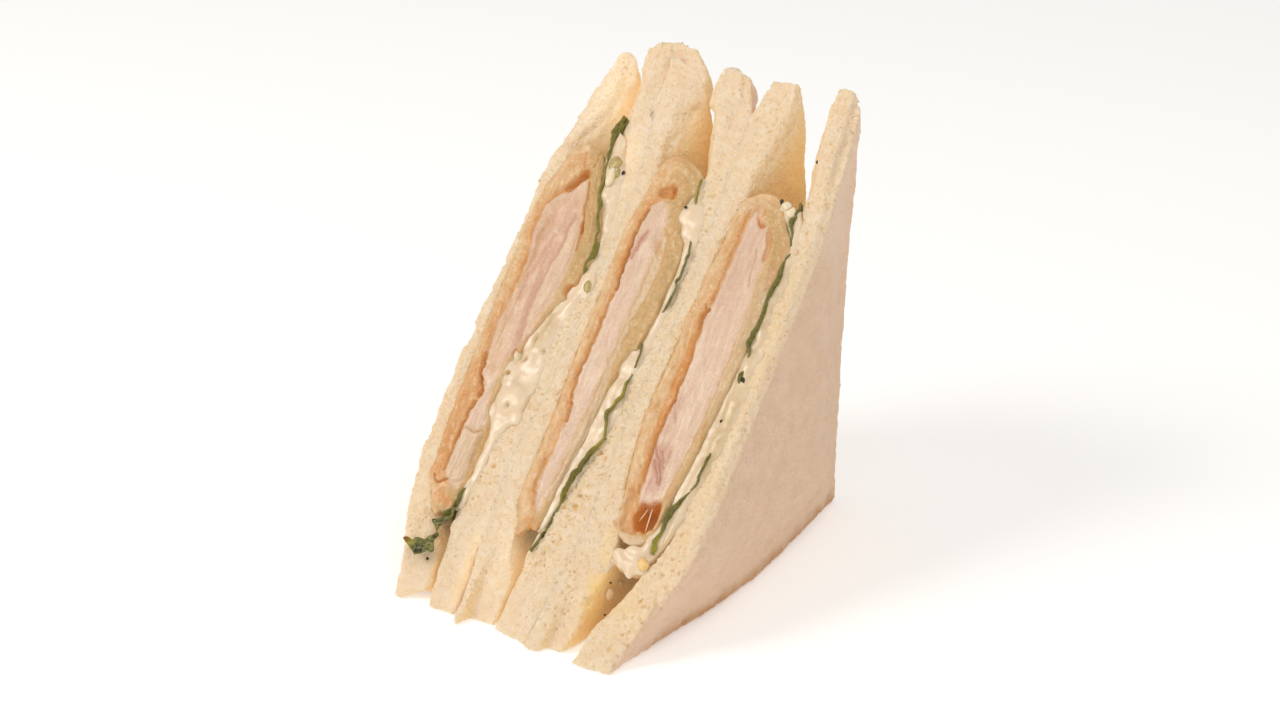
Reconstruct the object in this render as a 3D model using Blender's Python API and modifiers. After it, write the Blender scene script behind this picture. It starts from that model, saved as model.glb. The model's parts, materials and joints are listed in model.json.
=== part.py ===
"""Fried chicken sandwich: three triangular wedges standing side by side on their lower straight sides.

Each wedge is two slices of crustless white bread round a battered chicken fillet, a lettuce leaf and
tartar sauce. The diagonal cut faces the front and shows the layers. X runs across the stack from the
left slice to the right one, Y from the front tips to the back, and Z up. The base stands on Z = 0.
"""

import math

import bmesh
import bpy
from mathutils import Vector, noise
from mathutils.bvhtree import BVHTree

MM = 0.001
ROOT_2 = math.sqrt(2.0)

# The bread.
LEG = 105 * MM  # straight side of a slice, from the square corner to a tip
BACK = LEG / 2  # Y of the upright straight sides
SOFT_CORNER = 0.8 * MM  # how far the crumb rounds off along a slice's edges
CRUMB_WAVE = 0.5 * MM  # unevenness of the cut and the upright edges
BREAD_COLUMNS = 16
BREAD_LAYERS = (0.0, 0.16, 0.5, 0.84, 1.0)
BREAD_CROWDING = 1.35  # above 1 sets the rows of faces closer together towards the cut

# Clearance that keeps a filling apart from its neighbours.
SEAM = 0.5 * MM
DEEP_CLEARANCE = 0.3 * MM  # added behind the cut, where the faces are larger

# How the squeezed layers at the cut open out to the full slices at the straight sides.
CUT_FADE = 4 * MM
SQUEEZE_START = 3 * MM
SQUEEZE_END = 22 * MM

# Where each slice's left and right sides lie across the stack, in millimetres. At the cut they are read
# at eleven even stations from the low tips (front) to the high tips (back), and round the straight
# sides at five: low tip, middle of the base, square corner, middle of the back and high tip.
CUT_SIDES = {
    "bread_1": (
        (-29.5, -33.3, -37.2, -39.1, -39.7, -39.6, -39.3, -39.0, -38.2, -36.8, -32.9),
        (-22.5, -24.2, -31.2, -34.8, -36.2, -36.6, -37.0, -37.0, -35.6, -31.0, -27.6),
    ),
    "bread_2": (
        (-20.3, -22.4, -21.8, -20.4, -15.5, -17.0, -13.8, -15.0, -17.2, -22.8, -25.1),
        (-13.8, -13.0, -13.4, -14.4, -12.5, -12.9, -12.4, -12.6, -13.1, -16.6, -17.0),
    ),
    "bread_3": (
        (-10.4, -10.8, -12.8, -13.9, -12.0, -12.4, -11.9, -12.1, -12.6, -16.1, -16.4),
        (-2.4, -2.2, -7.0, -8.5, -9.2, -9.9, -10.0, -9.8, -8.6, -10.0, -7.9),
    ),
    "bread_4": (
        (-1.8, -1.0, 2.0, 5.3, 7.4, 8.2, 9.3, 8.9, 5.6, 0.8, -2.9),
        (8.7, 10.2, 11.5, 10.8, 10.6, 10.9, 11.9, 11.8, 10.4, 9.8, 6.4),
    ),
    "bread_5": (
        (9.8, 10.8, 12.0, 11.3, 11.1, 11.4, 12.4, 12.3, 10.9, 10.4, 10.2),
        (17.2, 21.1, 20.6, 16.3, 14.3, 14.2, 14.8, 15.0, 16.0, 19.2, 20.4),
    ),
    "bread_6": (
        (21.6, 26.6, 33.4, 34.4, 36.2, 36.8, 35.4, 34.8, 33.0, 30.0, 28.3),
        (32.0, 36.0, 41.0, 41.0, 41.0, 40.8, 40.6, 40.4, 39.4, 38.3, 36.4),
    ),
}
RIM_SIDES = {
    "bread_1": ((-30.5, -33.0, -33.0, -34.0, -33.5), (-21.5, -22.8, -22.8, -23.6, -26.0)),
    "bread_2": ((-20.9, -22.3, -22.3, -23.1, -24.5), (-12.4, -11.8, -11.8, -12.4, -15.6)),
    "bread_3": ((-11.2, -11.3, -11.3, -11.9, -15.0), (-2.4, -0.9, -0.9, -1.5, -3.5)),
    "bread_4": ((-1.5, -0.4, -0.4, -1.0, -2.5), (8.9, 10.6, 10.4, 9.6, 7.2)),
    "bread_5": ((9.7, 11.1, 10.9, 10.1, 9.6), (18.6, 22.5, 21.4, 22.8, 22.0)),
    "bread_6": ((20.5, 23.0, 21.9, 24.2, 27.5), (32.0, 37.0, 33.0, 34.0, 36.0)),
}

# Each slice's own lower side and height, because no two are trimmed alike, and how much shorter it
# is at its low and its high tip on the right side (or, below zero, on the left side).
SLICE_SIDES = {
    "bread_1": (101.5 * MM, 107.5 * MM, 3.5 * MM, 0.0),
    "bread_2": (100.8 * MM, 110.2 * MM, 0.0, -4.0 * MM),
    "bread_3": (99.5 * MM, 111.2 * MM, 0.0, 5.0 * MM),
    "bread_4": (103.4 * MM, 108.2 * MM, -2.5 * MM, 0.0),
    "bread_5": (101.8 * MM, 107.2 * MM, 0.0, 0.0),
    "bread_6": (105.0 * MM, 108.2 * MM, 0.0, 1.0 * MM),
}

# The battered fillets.
BATTER_PLACES = (0.0, 1.2 * MM, 2.5 * MM, 3.7 * MM)  # face rows counted in from the skin
BATTER_RISES = (0.0, 0.7 * MM, 0.5 * MM, -1.4 * MM)  # crust, crust, crust, and the gap under it
FILLET_DEPTH = 50 * MM  # from the cut to the fillet's far corner
FILLET_EDGE = 5 * MM  # length over which the fillet's edge rounds off
FILLET_END_BULGE = 1.2 * MM
FILLET_COLUMNS = 28
FILLET_ROWS = 4

# Lettuce and sauce.
LEAF_THICKNESS = 0.7 * MM
LEAF_COLUMNS = 38
LEAF_ROWS = 3
LEAF_DEPTH = 26 * MM
LEAF_RUFFLE = 0.4 * MM
SAUCE_LEAST = 0.7 * MM
SAUCE_COLUMNS = 26
SAUCE_ROWS = 3
SAUCE_DEPTH = 30 * MM
SOUND_DEPTH = 1.3 * MM  # how deep the uneven cut reaches, where the slices' sides are measured

# Loose bits at the cut: half sizes across the stack, behind the cut and along it.
SAUCE_FOLD_HALF = (4.6 * MM, 3.2 * MM, 2.5 * MM)
LEAF_TIP_HALF = (4.3 * MM, 0.6 * MM, 2.6 * MM)

# What fills each wedge. Places along the cut are shares of its length, 0 at the low tip and 1 at the
# high one. "sauce" is the sauce's thickness in millimetres at the eleven stations. A pit is (place
# along the cut, share of the fillet's thickness, half length, half width, depth), in millimetres.
# "leaf" is the leaf's path at the cut: (place along the cut, share of the way over to the sauce).
WEDGES = {
    1: {
        "fillet": (0.17, 0.83),
        "sauce": (0.0, 0.0, 0.7, 1.2, 8.0, 2.5, 1.0, 0.8, 3.6, 1.0, 0.0),
        "sauce_span": (0.22, 0.87),
        "pits": ((0.77, 0.66, 4.5, 2.6, 7.0), (0.32, 0.42, 13.0, 1.2, 3.0), (0.585, 0.93, 2.6, 1.4, 4.0)),
        "leaf": ((0.125, 0.6), (0.14, 0.6), (0.19, 1.0), (0.90, 1.0)),
        "leaf_hidden": (0.22, 0.60),
    },
    2: {
        "fillet": (0.175, 0.84),
        "sauce": (0.0, 0.0, 0.7, 1.2, 1.6, 0.9, 1.0, 1.2, 1.0, 0.7, 0.0),
        "sauce_span": (0.24, 0.82),
        "pits": ((0.79, 0.5, 3.0, 1.6, 5.0), (0.27, 0.3, 9.0, 1.0, 2.5)),
        "leaf": ((0.15, 1.0), (0.83, 1.0)),
        "leaf_hidden": (0.50, 0.58),
    },
    3: {
        "fillet": (0.21, 0.81),
        "sauce": (0.0, 0.0, 1.2, 1.5, 2.0, 2.5, 1.4, 0.8, 1.6, 0.7, 0.0),
        "sauce_span": (0.22, 0.80),
        "pits": ((0.255, 0.45, 5.0, 2.8, 7.0), (0.785, 0.45, 3.4, 0.9, 3.0)),
        "leaf": ((0.20, 1.0), (0.81, 1.0)),
        "leaf_hidden": (0.40, 0.52),
    },
}
SAUCE_FOLD = (3, 0.178, 0.5)  # wedge, place along the cut, share of the way across the filling
LEAF_TIP = (1, 0.117, -27.0 * MM)  # wedge, place along the cut, and X of the leaf tip's middle

COLOURS = {
    "bread": ((0.90, 0.76, 0.55), 0.85),
    "chicken": ((0.72, 0.43, 0.20), 0.45),
    "lettuce": ((0.08, 0.14, 0.03), 0.40),
    "tartar": ((0.88, 0.78, 0.56), 0.30),
}


def smooth_step(low, high, value):
    """0 below low, 1 above high, and a smooth rise between them."""
    share = min(1.0, max(0.0, (value - low) / (high - low)))
    return share * share * (3.0 - 2.0 * share)


def smooth_curve(values, share):
    """A Catmull-Rom curve through evenly spaced values, read at share from 0 to 1."""
    spans = len(values) - 1
    place = min(1.0, max(0.0, share)) * spans
    first = min(int(place), spans - 1)
    t = place - first
    a, b, c, d = (values[min(spans, max(0, first + step))] for step in (-1, 0, 1, 2))
    bend = (2 * a - 5 * b + 4 * c - d) * t * t + (3 * b - a - 3 * c + d) * t * t * t
    return 0.5 * (2 * b + (c - a) * t + bend)


def side_of_slice(name, side, y, z):
    """X of a slice's left (0) or right (1) side at the point (y, z) of the wedge's plane."""
    run, rise = (y + BACK) / LEG, z / LEG
    along = (run + rise) / 2
    behind_cut = max(0.0, (run - rise) * LEG / ROOT_2)
    from_rim = max(0.0, min(z, BACK - y))
    at_cut = smooth_curve(CUT_SIDES[name][side], along)
    at_rim = smooth_curve(RIM_SIDES[name][side], along)
    opened = 1.0 - math.exp(-behind_cut / CUT_FADE)
    opened *= 1.0 - smooth_step(SQUEEZE_START, SQUEEZE_END, from_rim)
    return (at_cut + (at_rim - at_cut) * opened) * MM


def cut_point(along, depth):
    """(y, z) of the point at a share of the cut's length, and this deep behind the cut."""
    return along * LEG - BACK + depth / ROOT_2, along * LEG - depth / ROOT_2


def block(columns, rows, layers, halved=False):
    """A box from 0 to 1 each way, made of a grid that is extruded through its layers.

    A halved block keeps only the half of the grid below its diagonal, a triangular prism.
    """
    mesh = bmesh.new()
    bmesh.ops.create_grid(mesh, x_segments=columns, y_segments=rows, size=0.5)
    if halved:
        geometry = mesh.verts[:] + mesh.edges[:] + mesh.faces[:]
        bmesh.ops.bisect_plane(
            mesh, geom=geometry, dist=1e-6, plane_co=(0, 0, 0), plane_no=(-1, 1, 0), clear_outer=True
        )
    bmesh.ops.translate(mesh, vec=(0.5, 0.5, 0.0), verts=mesh.verts[:])
    sheet = mesh.faces[:]
    for bottom, top in zip(layers, layers[1:]):
        grown = bmesh.ops.extrude_face_region(mesh, geom=sheet)
        if bottom != layers[0]:
            bmesh.ops.delete(mesh, geom=sheet, context="FACES")
        sheet = [item for item in grown["geom"] if isinstance(item, bmesh.types.BMFace)]
        lifted = [item for item in grown["geom"] if isinstance(item, bmesh.types.BMVert)]
        bmesh.ops.translate(mesh, vec=(0, 0, top - bottom), verts=lifted)
    return mesh


def material(family):
    """The material of one family of layers."""
    name = family.capitalize()
    found = bpy.data.materials.get(name)
    if found:
        return found
    colour, roughness = COLOURS[family]
    made = bpy.data.materials.new(name)
    made.use_nodes = True
    shader = made.node_tree.nodes["Principled BSDF"]
    shader.inputs["Base Color"].default_value = (*colour, 1.0)
    shader.inputs["Roughness"].default_value = roughness
    shader.inputs["Metallic"].default_value = 0.0
    return made


def finish(mesh, name, collection):
    """Turns the bmesh into a named, smooth object with its family's material."""
    bmesh.ops.recalc_face_normals(mesh, faces=mesh.faces[:])
    if mesh.calc_volume(signed=True) < 0:
        bmesh.ops.reverse_faces(mesh, faces=mesh.faces[:])
    data = bpy.data.meshes.new(name)
    mesh.to_mesh(data)
    mesh.free()
    data.shade_smooth()
    data.set_sharp_from_angle(angle=math.radians(50))
    data.materials.append(material(name.split("_")[0]))
    made = bpy.data.objects.new(name, data)
    collection.objects.link(made)
    return made


def crowd_to_cut(run, rise):
    """Moves a point of the unit triangle towards its diagonal, keeping the sides on the sides."""
    deep = run - rise
    if deep > 1 - 1e-6:
        return run, rise
    moved = deep**BREAD_CROWDING
    along = 0.5 + ((run + rise) / 2 - 0.5) * (1 - moved) / (1 - deep)
    return along + moved / 2, along - moved / 2


def slanted(slant, share):
    """How much a slanted side is shortened at this share of the way to its right."""
    return slant * share if slant > 0 else -slant * (1.0 - share)


def bread_slice(name, collection):
    """A trimmed half slice, squeezed thin where the filling lies and full at its straight sides."""
    lower_side, height, low_slant, high_slant = SLICE_SIDES[name]
    mesh = block(BREAD_COLUMNS, BREAD_COLUMNS, BREAD_LAYERS, halved=True)
    for vertex in mesh.verts:
        run, rise = crowd_to_cut(vertex.co.x, vertex.co.y)
        share = vertex.co.z
        foot = lower_side - slanted(low_slant, share)
        top = height - slanted(high_slant, share)
        y, z = BACK - foot * (1.0 - run), top * rise
        own_cut = (1.0 - run) * (LEG - foot) + rise * (LEG - top)
        on_plane = own_cut / 2 * (1.0 - (run + rise - 1) ** 4) * (1.0 - run + rise) ** 6
        y, z = y - on_plane, z + on_plane
        left, right = side_of_slice(name, 0, y, z), side_of_slice(name, 1, y, z)
        x = left + (right - left) * share
        wave = CRUMB_WAVE * noise.noise(Vector((x, y, z)) / (9 * MM))
        rounding = SOFT_CORNER if min(share, 1 - share) < 1e-4 else 0.0
        if run > 1 - 1e-4:
            y -= rounding + abs(wave)
        if run - rise < 1e-4:
            recess = (rounding + wave) / ROOT_2 * smooth_step(0.0, 0.12, min(run, 1.0 - run))
            y, z = y + recess, z - recess
        vertex.co = (x, y, rounding if rise < 1e-4 else max(z, rounding + 0.2 * MM))
    return finish(mesh, name, collection)


class Filling:
    """The room between a wedge's two slices, shared out between fillet, leaf and sauce."""

    def __init__(self, wedge, slices):
        """Keeps the wedge's number and the surfaces of the slices on its two sides."""
        self.wedge = wedge
        self.contents = WEDGES[wedge]
        self.sides = []
        for slice_object in slices:
            data = slice_object.data
            corners = [vertex.co for vertex in data.vertices]
            faces = [tuple(face.vertices) for face in data.polygons]
            self.sides.append(BVHTree.FromPolygons(corners, faces))

    def room(self, along, depth):
        """(left, right): X of the two slices' inner sides, less the clearance."""
        y, z = cut_point(along, max(depth, SOUND_DEPTH))
        left = side_of_slice(f"bread_{2 * self.wedge - 1}", 1, y, z)
        right = side_of_slice(f"bread_{2 * self.wedge}", 0, y, z)
        middle = Vector(((left + right) / 2, y, z))
        hit_left = self.sides[0].ray_cast(middle, Vector((-1, 0, 0)))[0]
        hit_right = self.sides[1].ray_cast(middle, Vector((1, 0, 0)))[0]
        left = hit_left.x if hit_left else left
        right = hit_right.x if hit_right else right
        clearance = SEAM + DEEP_CLEARANCE * smooth_step(2 * MM, 8 * MM, depth)
        return left + clearance, right - clearance

    def reach(self, along, least_room, most):
        """How deep behind the cut the room stays this wide, up to a most."""
        depth = 0.0
        while depth < most:
            left, right = self.room(along, depth + MM)
            if right - left < least_room:
                break
            depth += MM
        return depth

    def sauce_left(self, along, depth):
        """X of the sauce's left side."""
        left, right = self.room(along, depth)
        thickness = smooth_curve(self.contents["sauce"], along) * MM
        return right - max(SAUCE_LEAST, min(thickness, 0.3 * (right - left)))

    def leaf_middle(self, along, depth, share=1.0):
        """X of the leaf's middle, this share of the way from the left slice to the sauce."""
        left = self.room(along, depth)[0] + LEAF_THICKNESS / 2
        ruffle = LEAF_RUFFLE * (0.5 + 0.5 * noise.noise(Vector((along * 17.0, depth / (9 * MM), 3.0))))
        ruffle += SEAM + DEEP_CLEARANCE * smooth_step(2 * MM, 8 * MM, depth)
        beside_sauce = self.sauce_left(along, depth) - LEAF_THICKNESS / 2 - ruffle
        return left + (beside_sauce - left) * share

    def fillet_sides(self, along, depth):
        """(left, right): X of the fillet's two sides before its edges are rounded off."""
        left = self.room(along, depth)[0]
        deep = 2 * DEEP_CLEARANCE * smooth_step(2 * MM, 8 * MM, depth)
        return left, self.sauce_left(along, depth) - 2 * SEAM - LEAF_THICKNESS - LEAF_RUFFLE - deep

    def pit_depth(self, along, share, thickness):
        """How deep the hollows in the fillet's cut end are at this place."""
        deep = 0.0
        for place, middle, half_length, half_width, depth in self.contents["pits"]:
            up = (along - place) * LEG * ROOT_2 / (half_length * MM)
            across = (share - middle) * thickness / (half_width * MM)
            deep += depth * MM * math.exp(-(up * up + across * across))
        return deep

    def fillet(self, collection):
        """Half a battered fillet: rounded edges in the wedge, and a cut end with its batter ring."""
        low, high = self.contents["fillet"]
        last = 2 * len(BATTER_PLACES)
        mesh = block(FILLET_COLUMNS, FILLET_ROWS, [layer / last for layer in range(last + 1)])
        for vertex in mesh.verts:
            column, row = vertex.co.x, vertex.co.y
            layer = round(vertex.co.z * last)
            column += 0.55 * (0.5 - 0.5 * math.cos(math.pi * column) - column)
            along = low + (high - low) * column
            outline = (1.0 - abs(2 * column - 1) ** 2.0) ** 0.7
            reach = self.reach(along, 6.2 * MM, FILLET_DEPTH * (0.08 + 0.92 * outline))
            depth = reach * row**1.4
            left, right = self.fillet_sides(along, depth)
            from_edge = min(min(column, 1 - column) * (high - low) * LEG * ROOT_2, reach - depth)
            closing = 1.0 - min(1.0, max(0.0, from_edge) / FILLET_EDGE)
            narrowed = 0.2 * (right - left) * (1.0 - math.sqrt(1.0 - closing * closing))
            left, right = left + narrowed, right - narrowed
            skin = min(layer, last - layer)
            if skin < len(BATTER_PLACES):
                shrink = min(1.0, (right - left) / 2 / (BATTER_PLACES[-1] + 1.2 * MM))
                inset = BATTER_PLACES[skin] * shrink
            else:
                inset = (right - left) / 2
            x = left + inset if layer <= last / 2 else right - inset
            share = (x - left) / (right - left)
            bulge = FILLET_END_BULGE * closing * (1.0 - (2 * share - 1) ** 2)
            at_end = min(column, 1 - column) * (high - low) * LEG * ROOT_2 < FILLET_EDGE
            if at_end:
                along += math.copysign(bulge / (LEG * ROOT_2), column - 0.5)
            depth += 0.4 * bulge * row
            if row < 1e-4:
                rise = BATTER_RISES[skin] if skin < len(BATTER_RISES) else 0.0
                if closing > 0.35:
                    rise = BATTER_RISES[1]
                depth -= rise - min(0.4 * reach, self.pit_depth(along, share, right - left))
            y, z = cut_point(along, depth)
            vertex.co = (x, y, z)
        return finish(mesh, f"chicken_{self.wedge}", collection)

    def leaf_place(self, column):
        """(along, share) at this share of the leaf's path at the cut."""
        path = self.contents["leaf"]
        lengths = []
        for (low, start), (high, end) in zip(path, path[1:]):
            left, right = self.room((low + high) / 2, 0.0)
            lengths.append(math.hypot((high - low) * LEG * ROOT_2, (end - start) * (right - left)))
        place = column * sum(lengths)
        for index, length in enumerate(lengths):
            if place <= length or index == len(lengths) - 1:
                (low, start), (high, end) = path[index], path[index + 1]
                share = min(1.0, place / length)
                return low + (high - low) * share, start + (end - start) * share
            place -= length
        return path[-1]

    def leaf(self, collection):
        """A thin ruffled leaf that runs through the wedge and shows at the cut."""
        hidden_from, hidden_to = self.contents["leaf_hidden"]
        mesh = bmesh.new()
        bmesh.ops.create_grid(mesh, x_segments=LEAF_COLUMNS, y_segments=LEAF_ROWS, size=0.5)
        for vertex in mesh.verts:
            row = vertex.co.y + 0.5
            along, share = self.leaf_place(vertex.co.x + 0.5)
            behind = 2.2 * MM * smooth_step(hidden_from - 0.02, hidden_from + 0.02, along)
            behind *= 1.0 - smooth_step(hidden_to - 0.02, hidden_to + 0.02, along)
            behind += 0.7 * MM * (0.5 + 0.5 * noise.noise(Vector((along * 31.0, 0.0, 7.0))))
            depth = behind + row * max(2 * MM, self.reach(along, 3.6 * MM, LEAF_DEPTH) - behind - MM)
            y, z = cut_point(along, depth)
            vertex.co = (self.leaf_middle(along, depth, share), y, z)
        bmesh.ops.triangulate(mesh, faces=mesh.faces[:])
        leaf = finish(mesh, f"lettuce_{self.wedge}", collection)
        shell = leaf.modifiers.new("leaf thickness", "SOLIDIFY")
        shell.thickness = LEAF_THICKNESS
        shell.offset = 0.0
        return leaf

    def sauce(self, collection):
        """The sauce between the leaf and the right slice, swelling out a little at the cut."""
        low, high = self.contents["sauce_span"]
        mesh = block(SAUCE_COLUMNS, SAUCE_ROWS, (0.0, 0.5, 1.0))
        for vertex in mesh.verts:
            column, row, share = vertex.co
            along = low + (high - low) * column
            reach = self.reach(along, 3.6 * MM, SAUCE_DEPTH * (0.2 + 0.8 * (1.0 - abs(2 * column - 1) ** 2)))
            depth = max(2 * MM, reach) * row
            left, right = self.sauce_left(along, depth), self.room(along, depth)[1]
            ending = 1.0 - min(1.0, min(column, 1 - column) / 0.08)
            x = left + (right - left) * (0.5 + (share - 0.5) * (1.0 - 0.5 * ending))
            if row < 1e-4:
                depth -= 0.9 * MM * noise.noise(Vector((x, along, 0.0)) / (6 * MM)) + 0.3 * MM
            y, z = cut_point(along, depth)
            vertex.co = (x, y, z)
        return finish(mesh, f"tartar_{self.wedge}", collection)

    def sauce_fold(self, place, way_across, collection):
        """The rounded fold of sauce that closes the wedge below its fillet."""
        mesh = bmesh.new()
        bmesh.ops.create_icosphere(mesh, subdivisions=3, radius=1.0)
        across, behind, lengthways = SAUCE_FOLD_HALF
        left, right = self.room(place, 0.5 * behind)
        for vertex in mesh.verts:
            bump = 1.0 + 0.12 * noise.noise(vertex.co * 1.7)
            y, z = cut_point(
                place + vertex.co.z * bump * lengthways / (LEG * ROOT_2), (0.7 + vertex.co.y * bump) * behind
            )
            vertex.co = (left + (right - left) * way_across + vertex.co.x * bump * across, y, z)
        return finish(mesh, "tartar_fold", collection)

    def leaf_tip(self, place, middle, collection):
        """The tip of lettuce that has slipped out and lies on the left slice's cut face."""
        mesh = bmesh.new()
        bmesh.ops.create_grid(mesh, x_segments=9, y_segments=4, size=1.0)
        across, ruffle, lengthways = LEAF_TIP_HALF
        for vertex in mesh.verts:
            side, up = vertex.co.x, vertex.co.y
            width = math.sqrt(max(0.0, 1.0 - 0.85 * side * side))
            wave = noise.noise(Vector((side * 1.6, up * 1.3, 2.0)))
            along = place + (up * width + 0.25 * side) * lengthways / (LEG * ROOT_2)
            y, z = cut_point(along, -LEAF_THICKNESS - CRUMB_WAVE / 2 - ruffle * (0.5 + 0.5 * wave))
            vertex.co = (middle + side * across, y, z)
        bmesh.ops.triangulate(mesh, faces=mesh.faces[:])
        tip = finish(mesh, "lettuce_tip", collection)
        shell = tip.modifiers.new("leaf thickness", "SOLIDIFY")
        shell.thickness = LEAF_THICKNESS
        shell.offset = 0.0
        return tip


def stand_at_origin(parts):
    """Moves every part alike, so the middle of the whole thing's base is at the origin."""
    corners = [vertex.co for part in parts for vertex in part.data.vertices]
    middle_x = (min(c.x for c in corners) + max(c.x for c in corners)) / 2
    middle_y = (min(c.y for c in corners) + max(c.y for c in corners)) / 2
    shift = Vector((-middle_x, -middle_y, -min(c.z for c in corners)))
    for part in parts:
        for vertex in part.data.vertices:
            vertex.co += shift
    return shift


def main():
    """Builds the three wedges and stands them with the base's middle at the origin."""
    for old in list(bpy.data.objects):
        bpy.data.objects.remove(old)
    collection = bpy.data.collections.new("chicken_sandwich")
    bpy.context.scene.collection.children.link(collection)
    slices = {name: bread_slice(name, collection) for name in SLICE_SIDES}
    parts = list(slices.values())
    for wedge in WEDGES:
        filling = Filling(wedge, (slices[f"bread_{2 * wedge - 1}"], slices[f"bread_{2 * wedge}"]))
        parts += [filling.fillet(collection), filling.leaf(collection), filling.sauce(collection)]
        if wedge == SAUCE_FOLD[0]:
            parts.append(filling.sauce_fold(*SAUCE_FOLD[1:], collection))
        if wedge == LEAF_TIP[0]:
            parts.append(filling.leaf_tip(*LEAF_TIP[1:], collection))
    return stand_at_origin(parts)


main()
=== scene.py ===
"""Dresses the chicken sandwich: six slices of soft bread, battered chicken, lettuce and tartar sauce.

Every CAD solid is replaced by a finely shaped piece made from its own form. Shaping is worked out in
the axes of the diagonal cut: across the stack in millimetres, along the cut as a share of its length,
and the depth behind it in millimetres.
"""

import json
import logging
import math
from collections.abc import Sequence
from dataclasses import dataclass, field
from enum import Enum

import bpy
import numpy as np
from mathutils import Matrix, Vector
from mathutils.bvhtree import BVHTree

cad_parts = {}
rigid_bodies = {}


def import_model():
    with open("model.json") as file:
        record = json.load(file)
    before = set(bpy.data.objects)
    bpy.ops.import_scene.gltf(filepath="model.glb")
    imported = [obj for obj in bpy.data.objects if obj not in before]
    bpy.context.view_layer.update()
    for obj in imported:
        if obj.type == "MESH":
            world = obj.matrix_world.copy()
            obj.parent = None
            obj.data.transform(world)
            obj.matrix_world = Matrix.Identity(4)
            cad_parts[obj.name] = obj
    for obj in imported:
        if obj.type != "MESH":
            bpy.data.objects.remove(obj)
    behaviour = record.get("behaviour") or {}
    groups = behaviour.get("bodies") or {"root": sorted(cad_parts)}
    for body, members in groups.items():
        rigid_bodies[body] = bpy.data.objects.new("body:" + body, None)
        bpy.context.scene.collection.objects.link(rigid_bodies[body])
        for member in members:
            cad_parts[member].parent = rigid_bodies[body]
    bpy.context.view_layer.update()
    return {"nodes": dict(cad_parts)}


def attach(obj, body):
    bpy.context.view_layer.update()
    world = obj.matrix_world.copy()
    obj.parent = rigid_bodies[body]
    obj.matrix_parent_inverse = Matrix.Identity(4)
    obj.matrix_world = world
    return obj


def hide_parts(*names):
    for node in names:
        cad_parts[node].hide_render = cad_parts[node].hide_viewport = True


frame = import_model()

MM = 0.001
LEG = 105.0  # straight side of a half slice, in millimetres
CUT_LENGTH = LEG * math.sqrt(2.0)
STACK_MIDDLE = (-0.818, -0.220)  # where the modelling axes' middle came to stand, in millimetres
FRONT = np.array((0.0, -1.0, 1.0)) / math.sqrt(2.0)  # out of the cut
UPWARD = np.array((0.0, 1.0, 1.0)) / math.sqrt(2.0)  # along the cut, from the low tips to the high ones

Place = tuple[float, float]  # across in millimetres, share along the cut
Colour = tuple[float, float, float, float]

log = logging.getLogger("sandwich")


# ---------------------------------------------------------------------------------------------------
# Numbers: noise, curves and the axes of the cut
# ---------------------------------------------------------------------------------------------------


def rise(low: float, high: float, value: np.ndarray) -> np.ndarray:
    """0 at low, 1 at high, with a smooth rise between them; high may be below low."""
    share = np.clip((value - low) / (high - low), 0.0, 1.0)
    return share * share * (3.0 - 2.0 * share)


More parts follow.
